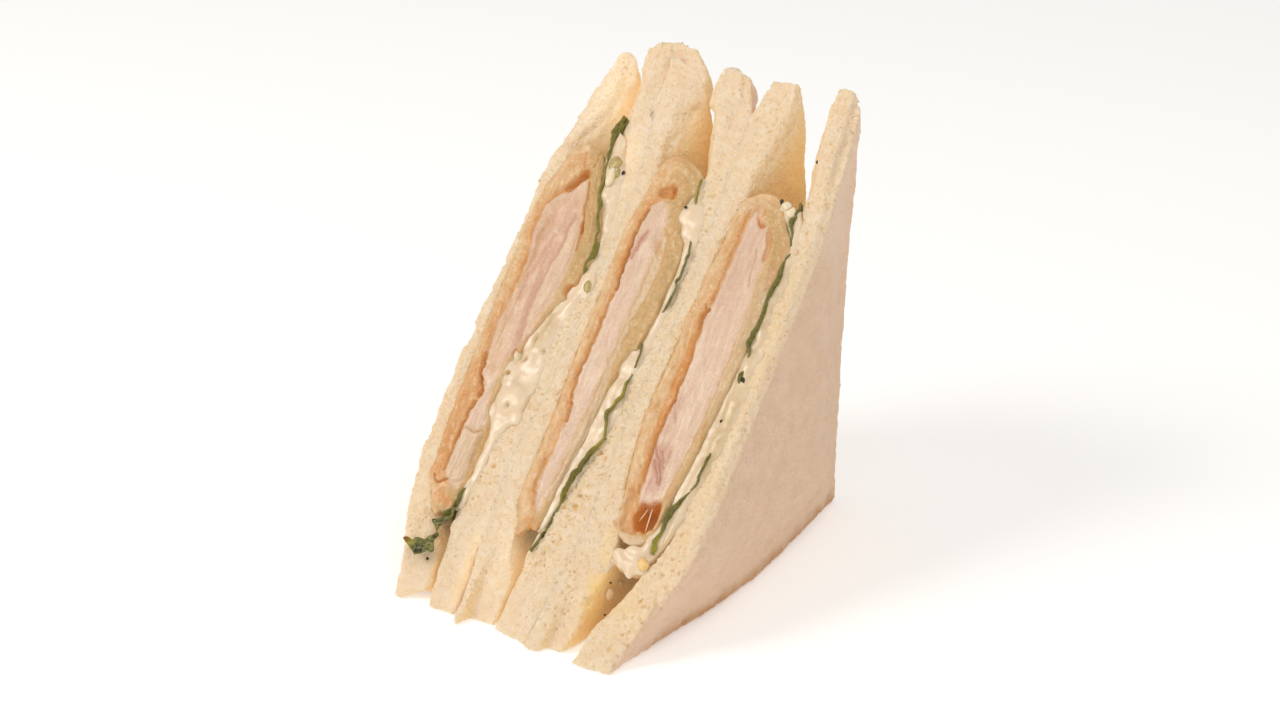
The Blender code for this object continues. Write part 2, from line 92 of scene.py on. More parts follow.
class Grain:
    """Repeatable noise over points in millimetres."""

    @staticmethod
    def number(cells: np.ndarray, seed: int) -> np.ndarray:
        """A number from 0 to 1 for each whole-numbered cell.

        Args:
            cells: Whole numbers, three in each row.
            seed: Which of many such sets of numbers.

        Returns:
            One number for each row.
        """
        whole = cells.astype(np.int64).astype(np.uint64)
        mixed = whole[..., 0] * np.uint64(0x9E3779B97F4A7C15)
        mixed ^= whole[..., 1] * np.uint64(0xC2B2AE3D27D4EB4F)
        mixed ^= whole[..., 2] * np.uint64(0x165667B19E3779F9)
        mixed += np.uint64((seed * 0x27D4EB2F165667C5) & 0xFFFFFFFFFFFFFFFF)
        mixed ^= mixed >> np.uint64(29)
        mixed *= np.uint64(0xBF58476D1CE4E5B9)
        mixed ^= mixed >> np.uint64(32)
        return (mixed & np.uint64(0xFFFFFF)).astype(np.float64) / 0xFFFFFF

    @classmethod
    def smooth(cls, points: np.ndarray, size: float | Sequence[float], seed: int) -> np.ndarray:
        """Soft waves from -1 to 1.

        Args:
            points: Points in millimetres.
            size: How far apart the waves are, alike or for each axis.
            seed: Which waves.

        Returns:
            One number for each point.
        """
        scaled = points / np.asarray(size, float) + (seed % 17) * 3.7
        base = np.floor(scaled)
        part = scaled - base
        part = part * part * part * (part * (part * 6 - 15) + 10)
        total = np.zeros(len(points))
        for corner in range(8):
            step = np.array((corner & 1, corner >> 1 & 1, corner >> 2 & 1))
            weight = np.prod(np.where(step, part, 1.0 - part), axis=1)
            total += weight * cls.number(base + step, seed)
        return total * 2.0 - 1.0

    @classmethod
    def layered(
        cls, points: np.ndarray, size: float | Sequence[float], seed: int, layers: int = 3
    ) -> np.ndarray:
        """Waves with finer waves on them, each half as wide and about half as high.

        Args:
            points: Points in millimetres.
            size: How far apart the widest waves are.
            seed: Which waves.
            layers: How many sizes of wave there are.

        Returns:
            One number for each point, from about -1 to 1.
        """
        total, height = np.zeros(len(points)), 1.0
        size = np.asarray(size, float)
        for layer in range(layers):
            total += height * cls.smooth(points, size / 2**layer, seed + 31 * layer)
            height *= 0.55
        return total / 1.3

    @classmethod
    def cells(cls, points: np.ndarray, size: float, seed: int) -> tuple[np.ndarray, np.ndarray]:
        """The nearest of many scattered points, one to each cell.

        Args:
            points: Points in millimetres.
            size: Side of a cell in millimetres.
            seed: Which scatter.

        Returns:
            The distance to the nearest scattered point, and that point's own number from 0 to 1.
        """
        scaled = points / size
        base = np.floor(scaled)
        nearest, own = np.full(len(points), 9.0), np.zeros(len(points))
        for step in np.ndindex(3, 3, 3):
            cell = base + np.array(step) - 1
            centre = cell + np.stack([cls.number(cell, seed + k) for k in (1, 2, 3)], axis=1)
            distance = np.linalg.norm(centre - scaled, axis=1)
            closer = distance < nearest
            nearest = np.where(closer, distance, nearest)
            own = np.where(closer, cls.number(cell, seed + 4), own)
        return nearest * size, own


def cut_axes(points: np.ndarray) -> tuple[np.ndarray, np.ndarray, np.ndarray]:
    """Turns points in millimetres into (across, share along the cut, depth behind it)."""
    across = points[:, 0] - STACK_MIDDLE[0]
    run = points[:, 1] - STACK_MIDDLE[1] + LEG / 2
    share = (run + points[:, 2]) / (2 * LEG)
    depth = (run - points[:, 2]) / math.sqrt(2.0)
    return across, share, depth


def from_cut(across: np.ndarray, share: np.ndarray, depth: np.ndarray) -> np.ndarray:
    """Turns (across, share along the cut, depth behind it) back into points in millimetres."""
    side = depth / math.sqrt(2.0)
    y = share * LEG - LEG / 2 + side + STACK_MIDDLE[1]
    z = share * LEG - side
    return np.stack([across + STACK_MIDDLE[0], y, z + 0 * y], axis=-1)


def curve_through(places: Sequence[Place], closed: bool, fineness: int = 5) -> np.ndarray:
    """A smooth line through places on the cut.

    Args:
        places: (across, share) of each place.
        closed: Whether the last place joins the first.
        fineness: Steps from each place to the next.

    Returns:
        Points (across, along), both in millimetres.
    """
    knots = np.array(places, float) * (1.0, CUT_LENGTH)
    count = len(knots)
    found = []
    for first in range(count if closed else count - 1):
        picks = [first - 1, first, first + 1, first + 2]
        picks = [k % count if closed else min(max(k, 0), count - 1) for k in picks]
        a, b, c, d = knots[picks]
        for step in range(fineness):
            t = step / fineness
            bend = (2 * a - 5 * b + 4 * c - d) * t * t + (3 * b - a - 3 * c + d) * t**3
            found.append(0.5 * (2 * b + (c - a) * t + bend))
    if not closed:
        found.append(knots[-1])
    return np.array(found)


def from_line(points: np.ndarray, line: np.ndarray, closed: bool) -> np.ndarray:
    """How far points on the cut are from a line through (across, along), in millimetres."""
    ends = np.roll(line, -1, axis=0) if closed else line[1:]
    starts = line if closed else line[:-1]
    nearest = np.full(len(points), 1e9)
    for start, end in zip(starts, ends):
        way = end - start
        share = np.clip(((points - start) @ way) / max(way @ way, 1e-9), 0.0, 1.0)
        away = points - start - share[:, None] * way
        nearest = np.minimum(nearest, np.einsum("ij,ij->i", away, away))
    return np.sqrt(nearest)


def inside(points: np.ndarray, outline: np.ndarray) -> np.ndarray:
    """Distance to a closed outline on the cut, above zero inside it and below zero outside."""
    within = np.zeros(len(points), bool)
    for start, end in zip(outline, np.roll(outline, -1, axis=0)):
        crosses = (start[1] > points[:, 1]) != (end[1] > points[:, 1])
        slope = (end[0] - start[0]) / ((end[1] - start[1]) or 1e-9)
        within ^= crosses & (points[:, 0] < start[0] + (points[:, 1] - start[1]) * slope)
    distance = from_line(points, outline, closed=True)
    return np.where(within, distance, -distance)


# ---------------------------------------------------------------------------------------------------
# Clay: pieces as they are shaped
# ---------------------------------------------------------------------------------------------------


def only(piece: bpy.types.Object) -> bpy.types.Object:
    """Makes a piece the only one selected, and the active one."""
    if bpy.context.object and bpy.context.object.mode != "OBJECT":
        bpy.ops.object.mode_set(mode="OBJECT")
    bpy.ops.object.select_all(action="DESELECT")
    piece.select_set(True)
    bpy.context.view_layer.objects.active = piece
    return piece


def merged_copy(node: str, name: str) -> bpy.types.Object:
    """A closed copy of a CAD node's form, whose loose triangles are joined.

    Args:
        node: The CAD node.
        name: What the copy is called.

    Returns:
        The new piece.
    """
    piece = bpy.data.objects.new(name, frame["nodes"][node].data.copy())
    bpy.context.scene.collection.objects.link(piece)
    piece.data.materials.clear()
    only(piece)
    bpy.ops.object.mode_set(mode="EDIT")
    bpy.ops.mesh.select_all(action="SELECT")
    bpy.ops.mesh.remove_doubles(threshold=1e-6)
    bpy.ops.object.mode_set(mode="OBJECT")
    return piece


def joined(pieces: Sequence[bpy.types.Object]) -> bpy.types.Object:
    """Joins pieces into the first one."""
    only(pieces[0])
    for piece in pieces:
        piece.select_set(True)
    if len(pieces) > 1:
        bpy.ops.object.join()
    return pieces[0]


def knead(piece: bpy.types.Object, grain: float, rounds: int) -> None:
    """Makes one even skin of a piece's volume, then relaxes it.

    Args:
        piece: The piece, of one or more closed forms that may overlap.
        grain: Side of a face in millimetres.
        rounds: How many times the skin is relaxed.
    """
    only(piece)
    skin = piece.modifiers.new("even skin", "REMESH")
    skin.mode = "VOXEL"
    skin.voxel_size = grain * MM
    skin.use_smooth_shade = True
    bpy.ops.object.modifier_apply(modifier=skin.name)
    relax(piece, rounds)


def relax(piece: bpy.types.Object, rounds: int, factor: float = 0.5) -> None:
    """Relaxes a piece's skin this many times."""
    if rounds:
        only(piece)
        calm = piece.modifiers.new("relaxed skin", "SMOOTH")
        calm.factor = factor
        calm.iterations = rounds
        bpy.ops.object.modifier_apply(modifier=calm.name)


def keep_main(piece: bpy.types.Object) -> None:
    """Deletes every speck that isn't joined to the skin at the piece's foremost corner."""
    foremost = int(points_of(piece)[:, 1].argmin())
    only(piece)
    chosen = np.zeros(len(piece.data.vertices), bool)
    chosen[foremost] = True
    piece.data.polygons.foreach_set("select", np.zeros(len(piece.data.polygons), bool))
    piece.data.edges.foreach_set("select", np.zeros(len(piece.data.edges), bool))
    piece.data.vertices.foreach_set("select", chosen)
    bpy.ops.object.mode_set(mode="EDIT")
    bpy.ops.mesh.select_linked()
    bpy.ops.mesh.select_all(action="INVERT")
    bpy.ops.mesh.delete(type="VERT")
    bpy.ops.object.mode_set(mode="OBJECT")


def points_of(piece: bpy.types.Object) -> np.ndarray:
    """A piece's corners in millimetres."""
    flat = np.empty(len(piece.data.vertices) * 3, np.float32)
    piece.data.vertices.foreach_get("co", flat)
    return flat.reshape(-1, 3).astype(float) / MM


def place_points(piece: bpy.types.Object, points: np.ndarray) -> None:
    """Moves a piece's corners to these places in millimetres."""
    piece.data.vertices.foreach_set("co", (points * MM).astype(np.float32).ravel())
    piece.data.update()


def facing(piece: bpy.types.Object) -> np.ndarray:
    """The way that the skin faces at each of a piece's corners."""
    flat = np.empty(len(piece.data.vertices) * 3, np.float32)
    piece.data.vertex_normals.foreach_get("vector", flat)
    return flat.reshape(-1, 3).astype(float)


def refine(piece: bpy.types.Object, chosen: np.ndarray) -> None:
    """Splits the faces whose corners are all chosen, so that they can hold finer relief.

    Args:
        piece: The piece.
        chosen: For each corner, whether it is in the part that gets finer faces.
    """
    only(piece)
    data = piece.data
    corners = np.empty(len(data.loops), np.int32)
    data.loops.foreach_get("vertex_index", corners)
    starts = np.empty(len(data.polygons), np.int32)
    data.polygons.foreach_get("loop_start", starts)
    picked = np.logical_and.reduceat(chosen[corners], starts)
    data.polygons.foreach_set("select", picked)
    data.vertices.foreach_set("select", np.zeros(len(data.vertices), bool))
    data.edges.foreach_set("select", np.zeros(len(data.edges), bool))
    bpy.context.tool_settings.mesh_select_mode = (False, False, True)
    data.polygons.foreach_set("select", picked)
    bpy.ops.object.mode_set(mode="EDIT")
    bpy.ops.mesh.subdivide(number_cuts=1, ngon=False)
    bpy.ops.object.mode_set(mode="OBJECT")
    bpy.context.tool_settings.mesh_select_mode = (True, False, False)


def store(piece: bpy.types.Object, name: str, values: np.ndarray) -> None:
    """Keeps a number from 0 to 1 at each corner, for the finish to read by this name."""
    layer = piece.data.attributes.new(name, "FLOAT", "POINT")
    layer.data.foreach_set("value", np.clip(values, 0.0, 1.0).astype(np.float32))


def finish_piece(
    piece: bpy.types.Object, material: bpy.types.Material, slot: str, *nodes: str
) -> bpy.types.Object:
    """Gives a piece its finish and smooth shading, attaches it to the root body and hides the CAD nodes that it
    replaces.

    Args:
        piece: The finished mesh, in place.
        material: Its material.
        slot: The record's material slot; not used.
        *nodes: The CAD nodes that it replaces.

    Returns:
        The same piece.
    """
    piece.data.materials.clear()
    piece.data.materials.append(material)
    piece.data.polygons.foreach_set("use_smooth", np.ones(len(piece.data.polygons), bool))
    piece.data.update()
    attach(piece, "root")
    if nodes:
        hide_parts(*nodes)
    log.info("%s: %d faces", piece.name, len(piece.data.polygons))
    return piece


def slab(name: str, outline: np.ndarray, front: float, back: float, taper: float) -> bpy.types.Object:
    """A slab with the form of an outline on the cut, narrower at its back.

    Args:
        name: What it is called.
        outline: Its outline, (across, along) in millimetres.
        front: Depth of its front, in millimetres.
        back: Depth of its back, in millimetres.
        taper: Scale of its back.

    Returns:
        The slab, closed.
    """
    bpy.ops.object.select_all(action="DESELECT")
    bpy.ops.mesh.primitive_circle_add(vertices=len(outline), radius=0.02, fill_type="NGON")
    piece = bpy.context.object
    piece.name = name
    area = 0.5 * np.sum(outline[:, 0] * np.roll(outline[:, 1], -1) - outline[:, 1] * np.roll(outline[:, 0], -1))
    if area < 0:
        outline = outline[::-1]
    place_points(piece, from_cut(outline[:, 0], outline[:, 1] / CUT_LENGTH, np.full(len(outline), front)))
    bpy.ops.object.mode_set(mode="EDIT")
    bpy.ops.mesh.select_all(action="SELECT")
    inward = Vector(-FRONT * (back - front) * MM)
    bpy.ops.mesh.extrude_region_move(TRANSFORM_OT_translate={"value": inward})
    middle = points_of_selected_middle(piece)
    bpy.ops.transform.resize(value=(taper, taper, taper), center_override=middle)
    bpy.ops.mesh.select_all(action="SELECT")
    bpy.ops.mesh.normals_make_consistent(inside=False)
    bpy.ops.object.mode_set(mode="OBJECT")
    return piece


def points_of_selected_middle(piece: bpy.types.Object) -> Vector:
    """The middle of a piece's selected corners, while it is in edit mode."""
    piece.update_from_editmode()
    chosen = [v.co for v in piece.data.vertices if v.select]
    return sum(chosen, Vector()) / max(1, len(chosen))


@dataclass(frozen=True)
class Blob:
    """A rounded lump on the cut, before it is kneaded into its neighbours.

    Attributes:
        across: Middle, in millimetres across the stack.
        share: Middle, as a share of the way along the cut.
        depth: Middle's depth behind the cut, below zero in front of it.
        half: Half its width across, along and behind the cut, in millimetres.
        lean: Turn on the cut, in degrees, that moves its upper end to the right.
    """

    across: float
    share: float
    depth: float
    half: tuple[float, float, float]
    lean: float = 0.0

    def build(self, name: str) -> bpy.types.Object:
        """A closed rounded form, in its place."""
        bpy.ops.object.select_all(action="DESELECT")
        bpy.ops.mesh.primitive_ico_sphere_add(subdivisions=3, radius=1.0)
        piece = bpy.context.object
        piece.name = name
        local = points_of(piece) * MM
        local *= 1.0 + 0.12 * Grain.smooth(local * 1.7 + self.across, 1.0, 5)[:, None]
        wide, long, deep = (local * self.half).T
        turn = math.radians(self.lean)
        across = self.across + wide * math.cos(turn) + long * math.sin(turn)
        along = long * math.cos(turn) - wide * math.sin(turn)
        place_points(piece, from_cut(across, self.share + along / CUT_LENGTH, self.depth + 0.8 * deep))
        return piece


# ---------------------------------------------------------------------------------------------------
# Finishes
# ---------------------------------------------------------------------------------------------------


def paint(red: int, green: int, blue: int) -> Colour:
    """A colour as the shader wants it, from its three display values of 0 to 255."""
    values = []
    for value in (red, green, blue):
        share = value / 255
        values.append(share / 12.92 if share <= 0.04045 else ((share + 0.055) / 1.055) ** 2.4)
    return (*values, 1.0)


class Board:
    """Places and joins the nodes of one material or one shared group."""

    def __init__(self, tree: bpy.types.NodeTree) -> None:
        """Keeps the tree that the nodes go into."""
        self.tree = tree
        self.count = 0

    def add(self, kind: str, sockets: dict | None = None, **settings: object) -> bpy.types.Node:
        """Adds a node.

        Args:
            kind: Its type, less the words ShaderNode.
            sockets: What goes into its inputs: numbers, colours or other nodes' outputs.
            **settings: Its own settings.

        Returns:
            The node.
        """
        node = self.tree.nodes.new("ShaderNode" + kind)
        node.location = (220 * (self.count % 6), -260 * (self.count // 6))
        self.count += 1
        for name, value in settings.items():
            setattr(node, name, value)
        for name, value in (sockets or {}).items():
            target = node.inputs[name]
            if isinstance(value, bpy.types.NodeSocket):
                self.tree.links.new(value, target)
            else:
                target.default_value = value
        return node

    def mix(self, factor: object, first: object, second: object) -> bpy.types.NodeSocket:
        """Mixes two colours.

        Args:
            factor: Share of the second colour, a number or an output.
            first: A colour or an output.
            second: A colour or an output.

        Returns:
            The mixed colour's output.
        """
        node = self.add("Mix", {0: factor, 6: first, 7: second}, data_type="RGBA")
        return node.outputs[2]

    def maths(self, kind: str, first: object, second: object = 0.0) -> bpy.types.NodeSocket:
        """One sum of two numbers or outputs, kept from 0 to 1."""
        return self.add("Math", {0: first, 1: second}, operation=kind, use_clamp=True).outputs[0]

    def mask(self, name: str) -> bpy.types.NodeSocket:
        """The numbers that a piece keeps under this name."""
        return self.add("Attribute", attribute_name=name).outputs["Fac"]

    def group(self, name: str, sockets: dict) -> bpy.types.Node:
        """Places a shared effect."""
        node = self.add("Group", node_tree=bpy.data.node_groups[name])
        for key, value in sockets.items():
            if isinstance(value, bpy.types.NodeSocket):
                self.tree.links.new(value, node.inputs[key])
            else:
                node.inputs[key].default_value = value
        return node


def shared_effect(name: str, takes: dict[str, object], gives: dict[str, str]) -> tuple[Board, dict, object]:
    """Starts a shader node group.

    Args:
        name: The group's name.
        takes: Its inputs and what they are set to, a colour, a vector or a number.
        gives: Its outputs and their socket types.

    Returns:
        The group's board, its inputs' outputs by name, and its output node.
    """
    tree = bpy.data.node_groups.new(name, "ShaderNodeTree")
    for key, value in takes.items():
        kind = "NodeSocketFloat"
        if isinstance(value, tuple):
            kind = "NodeSocketColor" if len(value) == 4 else "NodeSocketVector"
        socket = tree.interface.new_socket(name=key, in_out="INPUT", socket_type=kind)
        socket.default_value = value
    for key, kind in gives.items():
        tree.interface.new_socket(name=key, in_out="OUTPUT", socket_type=kind)
    board = Board(tree)
    entry = tree.nodes.new("NodeGroupInput")
    way_out = tree.nodes.new("NodeGroupOutput")
    return board, {key: entry.outputs[key] for key in takes}, way_out


def build_mottling() -> None:
    """The shared effect of two colours that run into each other in soft patches of two sizes."""
    takes = {
        "Vector": (0.0, 0.0, 0.0), "Patches": 300.0, "Light": (0.8, 0.8, 0.8, 1.0),
        "Dark": (0.5, 0.5, 0.5, 1.0), "Sharpness": 2.0,
    }
    board, given, way_out = shared_effect(
        "Mottling", takes, {"Colour": "NodeSocketColor", "Patch": "NodeSocketFloat"}
    )
    wide = board.add(
        "TexNoise", {"Vector": given["Vector"], "Scale": given["Patches"], "Detail": 4.0, "Roughness": 0.6}
    )
    centred = board.add("Math", {0: wide.outputs["Fac"], 1: 0.5}, operation="SUBTRACT")
    spread = board.add("Math", {0: centred.outputs[0], 1: given["Sharpness"]}, operation="MULTIPLY")
    patch = board.maths("ADD", spread.outputs[0], 0.5)
    colour = board.mix(patch, given["Light"], given["Dark"])
    board.tree.links.new(colour, way_out.inputs["Colour"])
    board.tree.links.new(patch, way_out.inputs["Patch"])


def build_fine_relief() -> None:
    """The shared effect of fine grain and uneven little holes, as a height for a Bump node."""
    takes = {"Vector": (0.0, 0.0, 0.0), "Grain": 2500.0, "Pins": 900.0, "Pin depth": 0.5}
    board, given, way_out = shared_effect(
        "Fine relief", takes, {"Height": "NodeSocketFloat", "Pin": "NodeSocketFloat"}
    )
    grain = board.add(
        "TexNoise", {"Vector": given["Vector"], "Scale": given["Grain"], "Detail": 3.0, "Roughness": 0.65}
    )
    bend = board.add("TexNoise", {"Vector": given["Vector"], "Scale": given["Pins"], "Detail": 1.0})
    warped = board.add(
        "VectorMath", {0: bend.outputs["Color"], 1: (0.0008, 0.0008, 0.0008), 2: given["Vector"]},
        operation="MULTIPLY_ADD",
    )
    cells = board.add("TexVoronoi", {"Vector": warped.outputs[0], "Scale": given["Pins"]})
    walls = board.add("TexVoronoi", {"Vector": warped.outputs[0], "Scale": given["Pins"]},
                      feature="DISTANCE_TO_EDGE")
    own = board.add("SeparateColor", {"Color": cells.outputs["Color"]})
    pin = board.add(
        "MapRange", {"Value": walls.outputs["Distance"], "From Min": 0.02, "From Max": 0.3,
                     "To Min": 0.0, "To Max": own.outputs[0]}, interpolation_type="SMOOTHSTEP"
    )
    sunk = board.add("Math", {0: pin.outputs[0], 1: given["Pin depth"]}, operation="MULTIPLY")
    height = board.add("Math", {0: grain.outputs["Fac"], 1: sunk.outputs[0]}, operation="SUBTRACT")
    board.tree.links.new(height.outputs[0], way_out.inputs["Height"])
    board.tree.links.new(pin.outputs[0], way_out.inputs["Pin"])


def new_material(name: str) -> tuple[bpy.types.Material, Board, bpy.types.Node, bpy.types.NodeSocket]:
    """Starts a material.

    Args:
        name: The material's name.

    Returns:
        The material, its board, its shader and the Object coordinates.
    """
    made = bpy.data.materials.new(name)
    made.use_nodes = True
    board = Board(made.node_tree)
    shader = made.node_tree.nodes["Principled BSDF"]
    place = board.add("TexCoord").outputs["Object"]
    return made, board, shader, place


def set_shader(shader: bpy.types.Node, **values: object) -> None:
    """Sets numbers that are the same all over, by socket name with _ for a space."""
    for name, value in values.items():
        shader.inputs[name.replace("_", " ")].default_value = value


@dataclass(frozen=True)
class CrumbFinish:
    """Soft white crumb: matt, a little see-through, and golden where it lies against the filling, partly from the
    filling soaking in and partly as painted shade; it also carries a painted glow for light shining through, and
    painted shade in its holes, on its outer faces and near the floor.
    """

    light: Colour = paint(253, 232, 206)
    dark: Colour = paint(247, 219, 187)
    # Golden: partly the filling's colour soaking into the crumb, partly painted shade and bounced light on the
    # faces inside the wedges.
    golden: Colour = paint(246, 208, 138)
    # Painted shade: a darker, pinker tone for the side faces away from the filling, the outer faces.
    rosy: Colour = paint(243, 213, 190)
    # Painted shade: the darker, warmer tone inside the crumb's holes and in the hollows of its fine relief.
    pore: Colour = paint(244, 211, 152)
    # Painted shade: brownish along the base near the floor, and on the outer faces the lower they are.
    tanned: Colour = paint(196, 148, 104)
    # Colour of the painted glow, an emission standing in for light shining through the crumb.
    shine_through: Colour = paint(255, 236, 192)
    glow: float = 0.3
    glow_reach: float = 0.0018

    def build(self) -> bpy.types.Material:
        """The material."""
        made, board, shader, place = new_material("Soft crumb")
        mottled = board.group(
            "Mottling",
            {"Vector": place, "Patches": 260.0, "Light": self.light, "Dark": self.dark, "Sharpness": 2.2},
        )
        fine = board.group("Fine relief", {"Vector": place, "Grain": 2400.0, "Pins": 1900.0, "Pin depth": 0.8})
        wide = board.group("Fine relief", {"Vector": place, "Grain": 900.0, "Pins": 950.0, "Pin depth": 0.8})
        height = board.maths("ADD", wide.outputs["Height"],
                             board.maths("MULTIPLY", fine.outputs["Height"], 0.5))
        # Golden tint: the filling soaking in, with painted shade on the faces inside the wedges.
        golden = board.mix(board.mask("gold"), mottled.outputs["Colour"], self.golden)
        # Painted shade on the outer faces.
        rosy = board.mix(board.mask("rosy"), golden, self.rosy)
        # Painted shade in the holes and in the hollows of the relief, more where the crumb is open and on the
        # faces toward the filling.
        deep = board.maths("MULTIPLY", board.mask("pore"), 0.9)
        pored = board.mix(deep, rosy, self.pore)
        airy = board.add("MapRange", {"Value": board.mask("open"), "To Min": 0.6, "To Max": 1.25})
        sunk = board.add(
            "MapRange", {"Value": height, "From Min": 0.75, "From Max": -0.4, "To Max": airy.outputs[0]}
        )
        celled = board.mix(sunk.outputs[0], pored, self.pore)
        # Painted shade near the floor and low on the outer faces.
        colour = board.mix(board.mask("tan"), celled, self.tanned)
        # Painted light: the crumb emits a warm glow where it is golden and in the glowing patches.
        lit = board.add("VectorMath", {0: self.shine_through[:3], "Scale": board.mask("glow")},
                        operation="SCALE")
        bump = board.add("Bump", {"Strength": 0.6, "Distance": 0.0004, "Height": height})
        board.tree.links.new(colour, shader.inputs["Base Color"])
        board.tree.links.new(lit.outputs[0], shader.inputs["Emission Color"])
        board.tree.links.new(bump.outputs["Normal"], shader.inputs["Normal"])
        set_shader(
            shader, Roughness=0.9, Specular_IOR_Level=0.25, Subsurface_Weight=self.glow,
            Subsurface_Radius=(1.0, 0.75, 0.5), Subsurface_Scale=self.glow_reach, Emission_Strength=0.5,
        )
        return made


@dataclass(frozen=True)
class ChickenFinish:
    """Battered chicken at its cut: pale moist meat inside a doughy golden batter."""

    batter: Colour = paint(226, 180, 122)
    batter_pale: Colour = paint(240, 208, 164)
    # The batter's own deeper colour, and painted shade in its grooves, creases and small hollows.
    orange: Colour = paint(222, 152, 76)
    tan: Colour = paint(206, 168, 108)
    meat: Colour = paint(239, 212, 185)
    meat_warm: Colour = paint(226, 190, 164)
    pink: Colour = paint(196, 128, 102)
    pale: Colour = paint(232, 208, 176)
    # Painted shade: the dark brownish tone deep in the hollows and along the darkest creases.
    dark: Colour = paint(204, 124, 44)

    def build(self) -> bpy.types.Material:
        """The material."""
        made, board, shader, place = new_material("Battered chicken")
        batter = board.group(
            "Mottling",
            {"Vector": place, "Patches": 420.0, "Light": self.batter_pale, "Dark": self.batter,
             "Sharpness": 2.6},
        )
        grain = board.add("Mapping", {"Vector": place, "Rotation": (math.radians(-45), 0.0, 0.0)})
        stretched = board.add("Mapping", {"Vector": grain.outputs[0], "Scale": (1.0, 0.16, 1.0)})
        meat = board.group(
            "Mottling",
            {"Vector": stretched.outputs[0], "Patches": 900.0, "Light": self.meat, "Dark": self.meat_warm,
             "Sharpness": 2.4},
        )
        colour = board.mix(board.mask("meat"), batter.outputs["Colour"], meat.outputs["Colour"])
        colour = board.mix(board.mask("tan"), colour, self.tan)
        colour = board.mix(board.mask("orange"), colour, self.orange)
        colour = board.mix(board.mask("pale"), colour, self.pale)
        colour = board.mix(board.mask("pink"), colour, self.pink)
        # Painted shade in the hollows and dark creases.
        colour = board.mix(board.mask("dark"), colour, self.dark)
        relief = board.group(
            "Fine relief", {"Vector": place, "Grain": 1300.0, "Pins": 800.0, "Pin depth": 0.3}
        )
        bump = board.add("Bump", {"Strength": 0.8, "Distance": 0.0004, "Height": relief.outputs["Height"]})
        rough = board.add(
            "MapRange", {"Value": batter.outputs["Patch"], "To Min": 0.22, "To Max": 0.5}
        )
        # Painted light: the hollows and dark creases emit a faint warm glow, like light bounced inside them.
        lit = board.mix(board.mask("dark"), (0.0, 0.0, 0.0, 1.0), self.orange)
        board.tree.links.new(colour, shader.inputs["Base Color"])
        board.tree.links.new(lit, shader.inputs["Emission Color"])
        board.tree.links.new(bump.outputs["Normal"], shader.inputs["Normal"])
        board.tree.links.new(rough.outputs[0], shader.inputs["Roughness"])
        set_shader(
            shader, Specular_IOR_Level=0.5, Subsurface_Weight=0.35, Subsurface_Radius=(1.0, 0.55, 0.35),
            Subsurface_Scale=0.002, Emission_Strength=0.12, Coat_Weight=0.25, Coat_Roughness=0.14,
        )
        return made


@dataclass(frozen=True)
class LeafFinish:
    """Dark crisp lettuce with pale veins."""

    deep: Colour = paint(40, 43, 17)
    bright: Colour = paint(130, 126, 55)
    vein: Colour = paint(150, 148, 90)
    withered: Colour = paint(150, 104, 26)
    limy: Colour = paint(176, 168, 62)

    def build(self) -> bpy.types.Material:
        """The material."""
        made, board, shader, place = new_material("Lettuce leaf")
        mottled = board.group(
            "Mottling",
            {"Vector": place, "Patches": 800.0, "Light": self.bright, "Dark": self.deep, "Sharpness": 4.5},
        )
        net = board.add("TexVoronoi", {"Vector": place, "Scale": 420.0}, feature="DISTANCE_TO_EDGE")
        vein = board.add(
            "MapRange", {"Value": net.outputs["Distance"], "From Min": 0.0, "From Max": 0.09, "To Min": 0.7,
                         "To Max": 0.0}
        )
        colour = board.mix(vein.outputs[0], mottled.outputs["Colour"], self.vein)
        colour = board.mix(board.mask("edge"), colour, self.bright)
        colour = board.mix(board.mask("limy"), colour, self.limy)
        colour = board.mix(board.mask("withered"), colour, self.withered)
        relief = board.group(
            "Fine relief", {"Vector": place, "Grain": 1800.0, "Pins": 800.0, "Pin depth": 0.2}
        )
        bump = board.add("Bump", {"Strength": 0.5, "Distance": 0.0002, "Height": relief.outputs["Height"]})
        board.tree.links.new(colour, shader.inputs["Base Color"])
        board.tree.links.new(bump.outputs["Normal"], shader.inputs["Normal"])
        set_shader(
            shader, Roughness=0.32, Specular_IOR_Level=0.5, Subsurface_Weight=0.12,
            Subsurface_Radius=(0.6, 1.0, 0.3), Subsurface_Scale=0.0006,
        )
        return made


@dataclass(frozen=True)
class SauceFinish:
    """Creamy tartar sauce: smooth, moist and slightly see-through."""

    cream: Colour = paint(246, 226, 200)
    butter: Colour = paint(238, 211, 174)
    glassy: Colour = paint(200, 172, 118)

    def build(self) -> bpy.types.Material:
        """The material."""
        made, board, shader, place = new_material("Tartar sauce")
        mottled = board.group(
            "Mottling",
            {"Vector": place, "Patches": 340.0, "Light": self.cream, "Dark": self.butter, "Sharpness": 2.0},
        )
        colour = board.mix(board.mask("glassy"), mottled.outputs["Colour"], self.glassy)
        relief = board.group(
            "Fine relief", {"Vector": place, "Grain": 700.0, "Pins": 500.0, "Pin depth": 0.1}
        )
        bump = board.add("Bump", {"Strength": 0.25, "Distance": 0.0002, "Height": relief.outputs["Height"]})
        rough = board.add("MapRange", {"Value": mottled.outputs["Patch"], "To Min": 0.16, "To Max": 0.4})
        board.tree.links.new(colour, shader.inputs["Base Color"])
        board.tree.links.new(bump.outputs["Normal"], shader.inputs["Normal"])
        board.tree.links.new(rough.outputs[0], shader.inputs["Roughness"])
        set_shader(
            shader, Specular_IOR_Level=0.5, Subsurface_Weight=0.4, Subsurface_Radius=(1.0, 0.8, 0.5),
            Subsurface_Scale=0.0016,
        )
        return made


